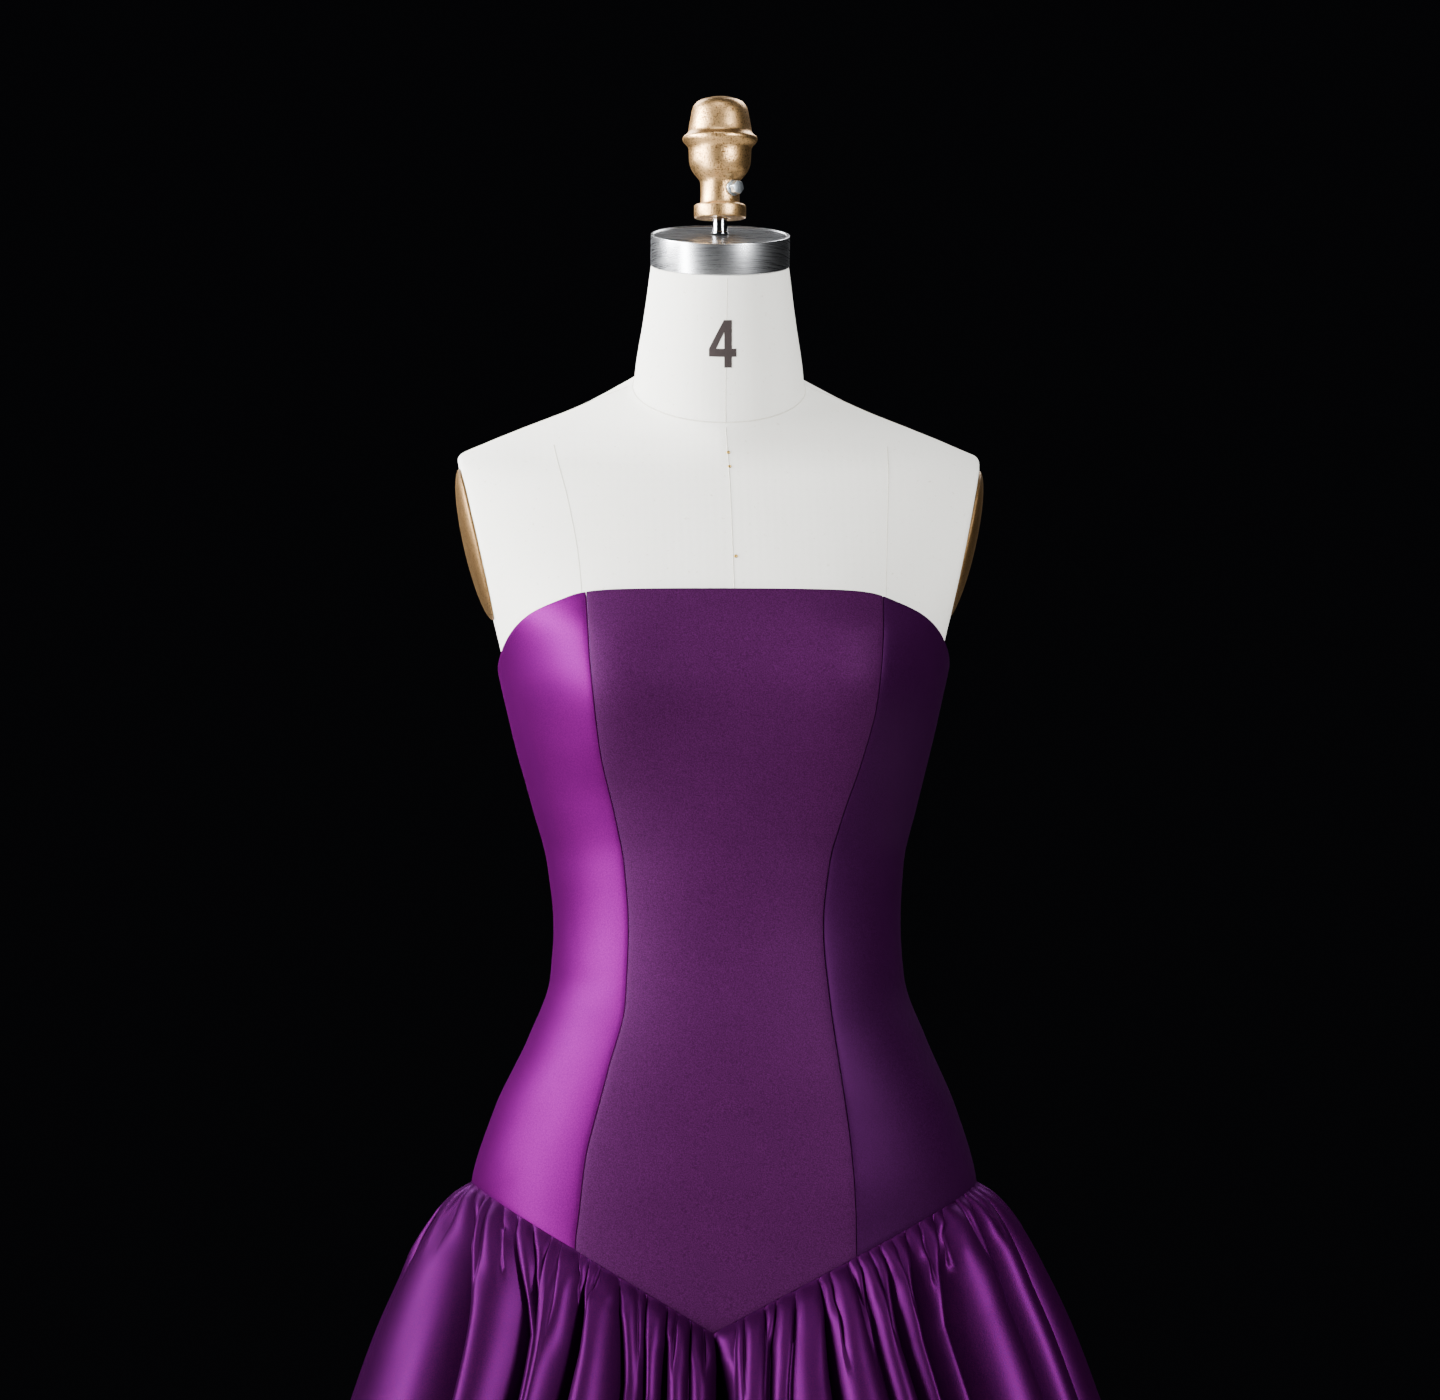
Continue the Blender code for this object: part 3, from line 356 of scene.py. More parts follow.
# The form's seams
# The canvas panels are felled together down the front, through both shoulders, round the neck's foot and
# down the back. Each seam is a thin pressed ridge, a little darker than the cloth.
SEAM_RADIUS = 0.00042
CENTRE_FRONT = [(1.508, 0.0026), (1.425, 0.0016), (1.383, 0.0030), (1.340, 0.0036), (1.262, 0.0040)]
FRONT_PRINCESS = {-1: [(1.391, 0.117), (1.350, 0.108), (1.300, 0.101), (1.262, 0.099)],
                  1: [(1.391, 0.116), (1.350, 0.113), (1.300, 0.110), (1.262, 0.108)]}
CENTRE_BACK = [(1.508, 0.0), (1.40, 0.0), (1.19, 0.0)]
BACK_PRINCESS = [(1.388, 0.125), (1.330, 0.112), (1.270, 0.098), (1.190, 0.084)]


def angle_at(x, level, out, in_front=True):
    """The angle at which the figure's ring, moved out, crosses a place measured across from the middle."""
    x, level = np.broadcast_arrays(np.asarray(x, float), np.asarray(level, float))
    aside = figure_value(6, level)
    side = np.abs(x - aside)
    low, high = np.zeros_like(side), np.full_like(side, 90.0)
    for _ in range(30):
        middle = (low + high) / 2
        turn = middle if in_front else 180.0 - middle
        nearer = ring_reach(turn, level, out) * np.sin(np.radians(middle)) < side
        low, high = np.where(nearer, middle, low), np.where(nearer, high, middle)
    return np.copysign(low if in_front else 180.0 - low, x - aside)


def ridge_along(name, points, radius, closed=False):
    """A thin round ridge through points, as a mesh."""
    line = bpy.data.curves.new(name, "CURVE")
    line.dimensions = "3D"
    line.bevel_depth = radius
    line.bevel_resolution = 2
    line.use_fill_caps = True
    spline = line.splines.new("POLY")
    spline.points.add(len(points) - 1)
    for target, point in zip(spline.points, points):
        target.co = (*point, 1.0)
    spline.use_cyclic_u = closed
    make_active(new_object(name, line))
    bpy.ops.object.convert(target="MESH")
    made = bpy.context.object
    made.data.shade_smooth()
    return made


def line_on_form(marks, hand=1, in_front=True, steps=40, out=-0.0002):
    """Points on the form's skin down a line, given as levels and distances from the middle."""
    marks = sorted(marks)
    along = np.linspace(marks[0][0], marks[-1][0], steps)
    across = hand * smooth_table(np.array([m[0] for m in marks]), np.array([m[1] for m in marks]), along)
    return figure_points(angle_at(across, along, 0.0, in_front), along, out)


def join_pieces(name, pieces):
    make_active(pieces[0])
    for piece in pieces:
        piece.select_set(True)
    bpy.ops.object.join()
    pieces[0].name = name
    pieces[0].data.name = name
    return pieces[0]


ridges = [ridge_along("front", line_on_form(CENTRE_FRONT), SEAM_RADIUS)]
for hand in (1, -1):
    ridges.append(ridge_along("princess", line_on_form(FRONT_PRINCESS[hand], hand), SEAM_RADIUS))
    ridges.append(ridge_along("behind", line_on_form(BACK_PRINCESS, hand, in_front=False), SEAM_RADIUS))
    over = np.linspace(1.4235, 1.376, 24)
    ridges.append(ridge_along("shoulder", figure_points(hand * 97.0, over, -0.0002), SEAM_RADIUS))
ridges.append(ridge_along("back", line_on_form(CENTRE_BACK, in_front=False), SEAM_RADIUS))
neck_foot = figure_points(around, 1.4252, -0.0001)
ridges.append(ridge_along("neck_foot", neck_foot, SEAM_RADIUS * 1.2, closed=True))
form_seams = join_pieces("form_seams", ridges)
pressed, tree, shader, place = new_finish("pressed_canvas_seam", Roughness=0.9, Sheen_Weight=0.1)
two_tones(tree, shader, place, 500.0, "#C9C5B8", "#DEDBD0")
finish_piece(form_seams, pressed)


# The size numeral
# A plain figure, printed on the front of the neck in dark brown ink. The ink lies in the weave, so it is
# dull and a little broken.
NUMERAL = dict(middle=-0.0004, foot=1.4375, lift=0.31 * 0.052, width=0.0191, thickness=0.0003)
NUMERAL_OUTLINE = [(60, 0), (93, 0), (93, 102), (112, 102), (112, 129), (93, 129), (93, 164), (62, 164),
                   (62, 129), (0, 129), (0, 103)]
NUMERAL_EYE = [(62, 44), (62, 102), (29, 102)]
GLYPH_UNIT = NUMERAL["width"] / 112

ink = bmesh.new()
for loop in (NUMERAL_OUTLINE, NUMERAL_EYE):
    corners = [ink.verts.new((NUMERAL["middle"] + (x - 56) * GLYPH_UNIT, 0.0, (164 - z) * GLYPH_UNIT))
               for x, z in loop]
    for a, b in zip(corners, corners[1:] + corners[:1]):
        ink.edges.new((a, b))
bmesh.ops.triangle_fill(ink, use_beauty=True, edges=ink.edges)
for k in range(1, 20):
    for normal, at in (((1, 0, 0), (-0.0095 + k * 0.001, 0, 0)), ((0, 0, 1), (0, 0, k * 0.0015))):
        whole = ink.verts[:] + ink.edges[:] + ink.faces[:]
        bmesh.ops.bisect_plane(ink, geom=whole, plane_co=at, plane_no=normal)
for vert in ink.verts:
    level = NUMERAL["foot"] + vert.co.z + NUMERAL["lift"]
    angle = angle_at(vert.co.x, level, 0.0)
    vert.co = figure_points(angle, level, NUMERAL["thickness"])
for face in ink.faces:
    face.normal_update()
    if face.normal.y > 0:
        face.normal_flip()
printed = bpy.data.meshes.new("size_numeral")
ink.to_mesh(printed)
ink.free()
numeral = new_object("size_numeral", printed)
brown_ink, tree, shader, place = new_finish("brown_printing_ink", Roughness=0.75)
two_tones(tree, shader, place, 700.0, "#140C0C", "#2B1C1B")
finish_piece(numeral, brown_ink)


# The brass tacks
# Three small round-headed tacks on the front seam, which hold the canvas and mark the measuring points.
TACKS = [(0.0030, 1.3950), (0.0036, 1.3820), (0.0058, 1.3075)]
TACK_RADIUS = 0.0014

heads = []
for across, level in TACKS:
    angle = float(angle_at(across, level, 0.0))
    seat = Vector(figure_points(angle, level, 0.0))
    clear_selection()
    bpy.ops.mesh.primitive_uv_sphere_add(segments=20, ring_count=12, radius=TACK_RADIUS, location=seat,
                                         scale=(1.0, 0.55, 1.0))
    bpy.ops.object.transform_apply(location=True, rotation=True, scale=True)
    bpy.ops.object.shade_smooth()
    heads.append(bpy.context.object)
tacks = join_pieces("brass_tacks", heads)
brass, tree, shader, place = new_finish("polished_brass", Metallic=1.0, Roughness=0.28)
two_tones(tree, shader, place, 900.0, "#9A7A3C", "#C7A45C")
finish_piece(tacks, brass)


# The arm plates
# Shallow oval caps of sheet metal over the armholes, sprayed a dull gold. Each is pressed to a low dome
# and its rim is rolled.
PLATE = dict(half_length=0.0545, half_width=0.037, dome=0.0095, gap=0.0003, rise=0.0085, rim=0.0012)


def soften_edges(piece, width, degrees):
    """Rounds the edges at which a piece's faces turn by more than an angle."""
    apply_modifier(piece, "BEVEL", width=width, segments=3, limit_method="ANGLE",
                   angle_limit=math.radians(degrees))


def rough_relief(tree, shader, pattern, rough, strength, distance):
    """Lets one pattern vary a finish's roughness, between two values, and raise its surface a little."""
    gloss = add_node(tree, "MapRange", {}, {"Value": pattern, "To Min": rough[0], "To Max": rough[1]})
    tree.links.new(gloss.outputs["Result"], shader.inputs["Roughness"])
    relief = add_node(tree, "Bump", {}, {"Strength": strength, "Distance": distance, "Height": pattern})
    tree.links.new(relief.outputs["Normal"], shader.inputs["Normal"])


def gold_paint(name, pit, light, dull, roughness):
    """Metal paint full of bronze flake: it shines like cast metal, with dark pits about 1 mm apart."""
    made, tree, shader, place = new_finish(name, Metallic=1.0, Roughness=roughness)
    speck = add_node(tree, "TexNoise", {}, {"Vector": place, "Scale": 900.0, "Detail": 2.0})
    patch = add_node(tree, "TexNoise", {}, {"Vector": place, "Scale": 45.0, "Detail": 2.0})
    clear = add_node(tree, "MapRange", {},
                     {"Value": speck.outputs["Fac"], "From Min": 0.34, "From Max": 0.47})
    worn = add_node(tree, "MapRange", {},
                    {"Value": patch.outputs["Fac"], "From Min": 0.35, "From Max": 0.75, "To Max": 0.30})
    skin = add_node(tree, "Mix", {"data_type": "RGBA"},
                    {0: worn.outputs["Result"], 6: colour(light), 7: colour(dull)})
    tint = add_node(tree, "Mix", {"data_type": "RGBA"},
                    {0: clear.outputs["Result"], 6: colour(pit), 7: skin.outputs[2]})
    tree.links.new(tint.outputs[2], shader.inputs["Base Color"])
    rough_relief(tree, shader, speck.outputs["Fac"], (roughness + 0.06, roughness - 0.06), 0.35, 0.0005)
    return made


gold = gold_paint("cast_metal_in_gold_paint", "#6E4A22", "#D9B07A", "#C29560", 0.36)
dull_gold = gold_paint("sheet_metal_in_dull_gold_paint", "#54401F", "#7E6343", "#6B5334", 0.50)
for side, hand in (("left", 1), ("right", -1)):
    outward = Vector((hand * slope.z, 0.0, -slope.x))
    upward = Vector((hand * slope.x, 0.0, slope.z))
    middle = (ARMHOLE_LOW + ARMHOLE_TOP) / 2 + slope * PLATE["rise"]
    seat = Vector((hand * middle.x, PLATE_SET_BACK, middle.z)) + outward * PLATE["gap"]
    turn = Matrix((upward.cross(outward), upward, outward)).transposed().to_4x4()
    clear_selection()
    bpy.ops.mesh.primitive_uv_sphere_add(segments=96, ring_count=40, radius=1.0)
    plate = bpy.context.object
    plate.name = f"gold_arm_plate_{side}"
    plate.scale = (PLATE["half_width"], PLATE["half_length"], PLATE["dome"])
    bpy.ops.object.transform_apply(scale=True)
    bpy.ops.object.mode_set(mode="EDIT")
    bpy.ops.mesh.select_all(action="SELECT")
    bpy.ops.mesh.bisect(plane_co=(0, 0, PLATE["rim"]), plane_no=(0, 0, 1), use_fill=True, clear_inner=True)
    bpy.ops.mesh.inset(thickness=0.0)
    bpy.ops.mesh.extrude_region_move(TRANSFORM_OT_translate={"value": (0, 0, -PLATE["rim"])})
    bpy.ops.object.mode_set(mode="OBJECT")
    plate.data.transform(Matrix.Translation(seat) @ turn)
    soften_edges(plate, 0.0005, 50)
    smooth_below(plate, 40)
    finish_piece(plate, dull_gold, hides=(f"arm_plate_{side}",))


# The neck cap
# A turned steel cap on the cut neck, brushed round its side, with a thin raised lip about its dark top.
MERGED = 0.00002
CAP = dict(radius=0.0486, height=0.0218, tip=math.atan(0.26), foot=1.5098, lip=0.0016, sink=0.0007)
SEAM_GAP = 0.0003


def brushed_steel(name, direction, dark, light, roughness):
    """Steel brushed in one direction: long fine lines, drawn 0.4 mm apart so that they show."""
    made, tree, shader, place = new_finish(name, Metallic=1.0, Roughness=roughness)
    lie = add_node(tree, "Mapping", {}, {"Vector": place, "Scale": direction})
    lines = add_node(tree, "TexNoise", {}, {"Vector": lie.outputs[0], "Scale": 1.0, "Detail": 4.0})
    tint = add_node(tree, "Mix", {"data_type": "RGBA"},
                    {0: lines.outputs["Fac"], 6: colour(dark), 7: colour(light)})
    tree.links.new(tint.outputs[2], shader.inputs["Base Color"])
    rough_relief(tree, shader, lines.outputs["Fac"], (roughness - 0.08, roughness + 0.1), 0.1, 0.0002)
    return made


def turned(name, profile, middle=(0.0, 0.0), sides=96):
    """A profile of radius and level, from the top down, spun about an upright axis."""
    mesh = bpy.data.meshes.new(name)
    mesh.from_pydata([(radius, 0.0, level) for radius, level in profile],
                     [(i, i + 1) for i in range(len(profile) - 1)], [])
    made = new_object(name, mesh)
    apply_modifier(made, "SCREW", steps=sides, render_steps=sides, use_merge_vertices=True,
                   merge_threshold=MERGED)
    made.data.transform(Matrix.Translation((*middle, 0.0)))
    make_active(made)
    bpy.ops.object.mode_set(mode="EDIT")
    bpy.ops.mesh.select_all(action="SELECT")
    bpy.ops.mesh.remove_doubles(threshold=MERGED)
    bpy.ops.mesh.normals_make_consistent(inside=False)
    bpy.ops.object.mode_set(mode="OBJECT")
    smooth_below(made, 34)
    return made


low = SEAM_GAP / math.cos(CAP["tip"])
top = low + CAP["height"]
edge = CAP["radius"] - CAP["lip"]
cap = turned("brushed_neck_cap", [
    (0.0, top - CAP["sink"]), (edge - 0.0006, top - CAP["sink"]), (edge, top - 0.0001),
    (edge + 0.0005, top), (CAP["radius"] - 0.0005, top),
    (CAP["radius"] - 0.0001, top - 0.0002), (CAP["radius"], top - 0.0006),
    (CAP["radius"], low + 0.0003), (CAP["radius"] - 0.0003, low), (0.0, low)], sides=160)
cap.data.transform(Matrix.Translation((0, 0, CAP["foot"])) @ Matrix.Rotation(CAP["tip"], 4, "X"))
steel = brushed_steel("brushed_steel", (40.0, 40.0, 2200.0), "#B4B6BB", "#DADCE0", 0.27)
finish_piece(cap, steel, hides=("neck_cap",))


# The neck stem
# A chromed rod between the cap and the knob, which slides in the knob's socket until the bolt holds it.
STEM = dict(radius=0.0054, top=1.5428)

stem_low = CAP["foot"] + (CAP["height"] + 2 * SEAM_GAP) / math.cos(CAP["tip"]) - CAP["sink"]
stem = turned("chromed_stem", [
    (0.0, STEM["top"]), (STEM["radius"], STEM["top"]), (STEM["radius"], stem_low + 0.0014),
    (STEM["radius"] + 0.0004, stem_low + 0.0010), (STEM["radius"] + 0.0004, stem_low)], sides=64)
chrome = brushed_steel("chromed_steel", (300.0, 300.0, 30.0), "#9EA0A6", "#C6C8CC", 0.14)
finish_piece(stem, chrome, hides=("neck_stem",))


# The knob
# A hollow cast-iron finial in gold metal paint. Its skin keeps the sand mould's fine pits, and its paint is a
# little duller in soft patches.
KNOB_FOOT = 1.5431
KNOB = [(0.0, 0.0850), (0.0060, 0.0848), (0.0129, 0.0830), (0.0160, 0.0815), (0.0176, 0.0798),
        (0.0188, 0.0780), (0.0198, 0.0750), (0.0207, 0.0700), (0.0218, 0.0641), (0.0222, 0.0610),
        (0.0228, 0.0595), (0.0242, 0.0582), (0.0257, 0.0572), (0.0262, 0.0563), (0.0263, 0.0553),
        (0.0261, 0.0542), (0.0254, 0.0530), (0.0243, 0.0519), (0.0233, 0.0509), (0.0226, 0.0499),
        (0.0220, 0.0485), (0.0218, 0.0450), (0.0216, 0.0399), (0.0212, 0.0375), (0.0205, 0.0352),
        (0.0193, 0.0328), (0.0179, 0.0307), (0.0162, 0.0288), (0.0149, 0.0273), (0.0141, 0.0258),
        (0.0137, 0.0240), (0.0136, 0.0170), (0.0137, 0.0115), (0.0141, 0.0103), (0.0155, 0.0097),
        (0.0170, 0.0095), (0.0177, 0.0092), (0.0181, 0.0086), (0.0182, 0.0076), (0.0182, 0.0014),
        (0.0179, 0.0005), (0.0172, 0.0), (0.0068, 0.0), (0.0062, 0.0008), (0.0062, 0.0030),
        (0.0, 0.0030)]

knob = turned("cast_knob", [(radius, KNOB_FOOT + height) for radius, height in KNOB], sides=128)
finish_piece(knob, gold, hides=("knob",))


# The knob's bolt
# A zinc-plated hexagonal bolt and its washer, which clamp the knob on the stem.
BOLT = dict(angle=37.0, height=0.0200, reach=0.0075, washer=0.0013, washer_low=0.0007, washer_radius=0.0056,
            head_gap=0.0002, head_radius=0.0049, head_turn=0.35, shank_radius=0.0030, shank_length=0.003,
            seat=0.0137)

zinc = brushed_steel("zinc_plated_steel", (700.0, 700.0, 700.0), "#A9B2B8", "#D3DADF", 0.34)
head_low = BOLT["washer_low"] + BOLT["washer"] + BOLT["head_gap"]
head_middle = (BOLT["reach"] + head_low) / 2
bolt_parts = []
for sides, radius, length, middle, turn in (
        (48, BOLT["washer_radius"], BOLT["washer"], BOLT["washer_low"] + BOLT["washer"] / 2, 0.0),
        (32, BOLT["shank_radius"], BOLT["shank_length"], 0.0012, 0.0),
        (6, BOLT["head_radius"], BOLT["reach"] - head_low, head_middle, BOLT["head_turn"])):
    clear_selection()
    bpy.ops.mesh.primitive_cylinder_add(vertices=sides, radius=radius, depth=length,
                                        location=(0, 0, middle), rotation=(0, 0, turn))
    bpy.ops.object.transform_apply(location=True, rotation=True, scale=True)
    bolt_parts.append(bpy.context.object)
    soften_edges(bolt_parts[-1], 0.00035, 40)
bolt = join_pieces("knob_bolt", bolt_parts)
facing = Matrix.Rotation(math.radians(BOLT["angle"]), 4, "Z") @ Matrix.Rotation(math.radians(90.0), 4, "X")
bolt_seat = Vector((0, 0, KNOB_FOOT + BOLT["height"])) + facing @ Vector((0, 0, BOLT["seat"] - 0.0006))
bolt.data.transform(Matrix.Translation(bolt_seat) @ facing)
smooth_below(bolt, 30)
finish_piece(bolt, zinc, hides=("knob_screw",))


# The stand
# A round cast-iron base in black enamel with a socket, and a steel pole that screws into a flange under
# the form.
BASE_RADIUS = 0.19
BASE_TOP = 0.016
SOCKET = dict(radius=0.034, height=0.055)
POLE_RADIUS = 0.015
FLANGE = dict(radius=0.05, top=0.6937, thickness=0.006)

enamel, tree, shader, place = new_finish("black_stove_enamel", Roughness=0.42, Coat_Weight=0.25,
                                         Coat_Roughness=0.3)
orange_peel = add_node(tree, "TexNoise", {}, {"Vector": place, "Scale": 260.0, "Detail": 3.0})
two_tones(tree, shader, place, 18.0, "#141416", "#2A2A2D", detail=5.0)
relief = add_node(tree, "Bump", {},
                  {"Strength": 0.3, "Distance": 0.0006, "Height": orange_peel.outputs["Fac"]})
tree.links.new(relief.outputs["Normal"], shader.inputs["Normal"])

base = turned("cast_base", [
    (0.0, BASE_TOP), (BASE_RADIUS * 0.78, BASE_TOP), (BASE_RADIUS * 0.79, BASE_TOP - 0.0006),
    (BASE_RADIUS * 0.80, BASE_TOP), (BASE_RADIUS - 0.004, BASE_TOP),
    (BASE_RADIUS - 0.0017, BASE_TOP - 0.0009), (BASE_RADIUS - 0.0004, BASE_TOP - 0.0026),
    (BASE_RADIUS, BASE_TOP - 0.0045), (BASE_RADIUS, 0.0030),
    (BASE_RADIUS - 0.0010, 0.0009), (BASE_RADIUS - 0.0030, 0.0), (0.0, 0.0)], sides=144)
finish_piece(base, enamel, hides=("stand_base",))

socket_low = BASE_TOP + SEAM_GAP
socket_top = socket_low + SOCKET["height"]
socket = turned("pole_socket", [
    (POLE_RADIUS * 0.9, socket_top - 0.002), (POLE_RADIUS, socket_top), (0.0225, socket_top),
    (0.0245, socket_top - 0.0015), (0.0255, socket_top - 0.006), (0.0265, socket_low + 0.020),
    (0.0290, socket_low + 0.010), (0.0325, socket_low + 0.0055), (SOCKET["radius"], socket_low + 0.0035),
    (SOCKET["radius"], socket_low), (0.0, socket_low)], sides=96)
finish_piece(socket, enamel, hides=("stand_socket",))

flange_low = FLANGE["top"] - FLANGE["thickness"]
pole = turned("steel_pole", [(0.0, flange_low - SEAM_GAP), (POLE_RADIUS, flange_low - SEAM_GAP),
                             (POLE_RADIUS, socket_top + SEAM_GAP), (0.0, socket_top + SEAM_GAP)], sides=64)
finish_piece(pole, chrome, hides=("stand_pole",))
flange = turned("form_flange_plate", [
    (0.0, FLANGE["top"]), (FLANGE["radius"], FLANGE["top"]), (FLANGE["radius"], flange_low + 0.0008),
    (FLANGE["radius"] - 0.0008, flange_low), (POLE_RADIUS + 0.004, flange_low), (0.0, flange_low)], sides=96)
finish_piece(flange, steel, hides=("form_flange",))


# The bodice
# Seven panels of heavy duchesse satin, seamed edge to edge and pressed, on a firm foundation that holds
# them smooth over the form. The top edge and the point are faced, so their edges are soft and full.
CLOTH_OUT = 0.0038
PANEL_WALL = 0.0017
PANEL_ROWS = 96
PANEL_HEIGHT = 0.45
TOP_EDGE = np.array([(0.0, 1.2822), (20.0, 1.2820), (34.0, 1.2814), (41.0, 1.2802), (45.5, 1.2780),
                     (50.0, 1.2730), (57.0, 1.2642), (65.0, 1.2514), (73.0, 1.2396), (81.0, 1.2306),
                     (90.0, 1.2250), (112.0, 1.2190), (145.0, 1.2140), (180.0, 1.2120)])
WAIST_POINT = dict(side=-0.010, level=0.7695)
WAIST_SIDE = 0.8690
WAIST_BACK_DIP = 0.032
POINT_LINE_TOP = 0.004
FRONT_SEAMS = np.array([
    # level, and how far the wearer's right and left seams are from the middle
    (0.760, 0.1055, 0.0895), (0.830, 0.1039, 0.0890), (0.853, 0.1013, 0.0882), (0.888, 0.0972, 0.0859),
    (0.920, 0.0895, 0.0823), (0.950, 0.0816, 0.0777), (0.996, 0.0694, 0.0711), (1.045, 0.0673, 0.0670),
    (1.090, 0.0704, 0.0711), (1.120, 0.0762, 0.0791), (1.164, 0.0869, 0.0936), (1.200, 0.0922, 0.1016),
    (1.240, 0.0962, 0.1051), (1.290, 0.0975, 0.1070)])
BACK_SEAMS = np.array([(0.820, 0.0860), (0.920, 0.0700), (1.045, 0.0500), (1.130, 0.0610), (1.250, 0.0840)])
PUCKER = dict(depth=0.00022, spacing=0.011, reach=0.007)
SEAM_SINK = dict(depth=0.0004, reach=0.0022)
RIPPLE = dict(depth=0.0007, size=0.075, edge=0.03)


def table_value(table, at):
    """The second column of a table, smoothed, at values of its first."""
    return smooth_table(table[:, 0], table[:, 1], at)


def top_edge(angle):
    return table_value(TOP_EDGE, np.abs(angle))


def waist_seam(angle):
    """The level of the seam between bodice and skirt: a point in front and a shallow dip behind."""
    turn = np.abs((angle + 180.0) % 360.0 - 180.0)
    behind = WAIST_SIDE - WAIST_BACK_DIP * np.sin(np.radians(turn - 90.0)) ** 2
    aside = float(figure_value(6, WAIST_SIDE))
    half = float(figure_value(1, WAIST_SIDE))
    x = aside + ring_reach(turn, WAIST_SIDE, 0.0) * np.sin(np.radians(angle))
    corner = aside + np.copysign(half, x - WAIST_POINT["side"])
    climb = (WAIST_SIDE - WAIST_POINT["level"]) / np.abs(corner - WAIST_POINT["side"])
    ahead = WAIST_POINT["level"] + climb * np.abs(x - WAIST_POINT["side"])
    return np.where(turn >= 90.0, behind, ahead)


def front_seam(level, hand):
    x = smooth_table(FRONT_SEAMS[:, 0], FRONT_SEAMS[:, 1 if hand < 0 else 2], level)
    return angle_at(hand * x, level, CLOTH_OUT)


def back_seam(level, hand):
    return angle_at(hand * table_value(BACK_SEAMS, level), level, CLOTH_OUT, in_front=False)


def point_line(level):
    """The line down the front panel that ends at the point."""
    climb = np.maximum(0.0, (level - WAIST_POINT["level"]) / (TOP_EDGE[0, 1] - WAIST_POINT["level"]))
    return angle_at(WAIST_POINT["side"] + (POINT_LINE_TOP - WAIST_POINT["side"]) * climb, level, CLOTH_OUT)


def panel_grid(lines, columns):
    """A panel's rows of points, from the waist seam up, with the ripples and puckers of sewn satin."""
    share = np.linspace(0.0, 1.0, columns + 1)[None, :]
    rise = np.linspace(0.0, 1.0, PANEL_ROWS + 1)[:, None]
    level = np.full((PANEL_ROWS + 1, columns + 1), 1.0)
    for _ in range(8):
        marks = lines(level)
        trim = [np.degrees(SEAM_GAP / 2 / ring_reach(mark, level, 0.0)) for mark in (marks[0], marks[-1])]
        way = np.sign(marks[-1] - marks[0])
        marks[0] = marks[0] + way * trim[0]
        marks[-1] = marks[-1] - way * trim[1]
        part = np.minimum((share * (len(marks) - 1)).astype(int), len(marks) - 2)
        along = share * (len(marks) - 1) - part
        stack = np.stack([mark * np.ones_like(level) for mark in marks])
        part = np.broadcast_to(part, level.shape)
        first = np.take_along_axis(stack, part[None], 0)[0]
        second = np.take_along_axis(stack, part[None] + 1, 0)[0]
        angle = first + (second - first) * along
        low, high = waist_seam(angle), top_edge(angle)
        level = low + (high - low) * rise
    points = figure_points(angle, level, CLOTH_OUT)
    for r in range(points.shape[0]):
        for k in range(points.shape[1]):
            spot = Vector(points[r, k])
            width = (Vector(points[r, -1]) - Vector(points[r, 0])).length
            to_seam = min(k, columns - k) / columns * width
            to_rim = min(r, PANEL_ROWS - r) / PANEL_ROWS * PANEL_HEIGHT
            swell = noise.noise(spot / RIPPLE["size"]) * RIPPLE["depth"] * min(1.0, to_rim / RIPPLE["edge"])
            pinch = PUCKER["depth"] * math.exp(-to_seam / PUCKER["reach"])
            pinch *= noise.noise(Vector((spot.z / PUCKER["spacing"] * 1.6, spot.x * 4, 3.0)))
            sink = SEAM_SINK["depth"] * math.exp(-to_seam / SEAM_SINK["reach"])
            out = Vector((points[r, k, 0], points[r, k, 1], 0.0)).normalized()
            points[r, k] += np.array(out * (swell + pinch - sink))
    return points


def satin(name, base_dark, base_light, metallic, roughness):
    """Duchesse satin: a deep violet ground under long glossy floats, which throw a tinted shine.

    The floats are far too fine to show, so their sparkle is drawn as a grain 0.8 mm across.
    """
    made, tree, shader, place = new_finish(name, Metallic=metallic, Roughness=roughness,
                                           Specular_IOR_Level=0.22, Specular_Tint=colour("#D58AE0"))
    grain = add_node(tree, "TexNoise", {}, {"Vector": place, "Scale": 1300.0, "Detail": 1.0})
    floats = add_node(tree, "MapRange", {},
                      {"Value": grain.outputs["Fac"], "From Min": 0.3, "From Max": 0.7})
    tint = add_node(tree, "Mix", {"data_type": "RGBA"},
                    {0: floats.outputs["Result"], 6: colour(base_dark), 7: colour(base_light)})
    shade = add_node(tree, "TexNoise", {}, {"Vector": place, "Scale": 22.0, "Detail": 3.0})
    even = add_node(tree, "MapRange", {},
                    {"Value": shade.outputs["Fac"], "From Min": 0.3, "From Max": 0.7, "To Max": 0.10})
    mottled = add_node(tree, "Mix", {"data_type": "RGBA", "blend_type": "MULTIPLY"},
                       {0: even.outputs["Result"], 6: tint.outputs[2], 7: colour("#7A5A86")})
    tree.links.new(mottled.outputs[2], shader.inputs["Base Color"])
    rough_relief(tree, shader, grain.outputs["Fac"], (roughness - 0.07, roughness + 0.07), 0.16, 0.0004)
    return made
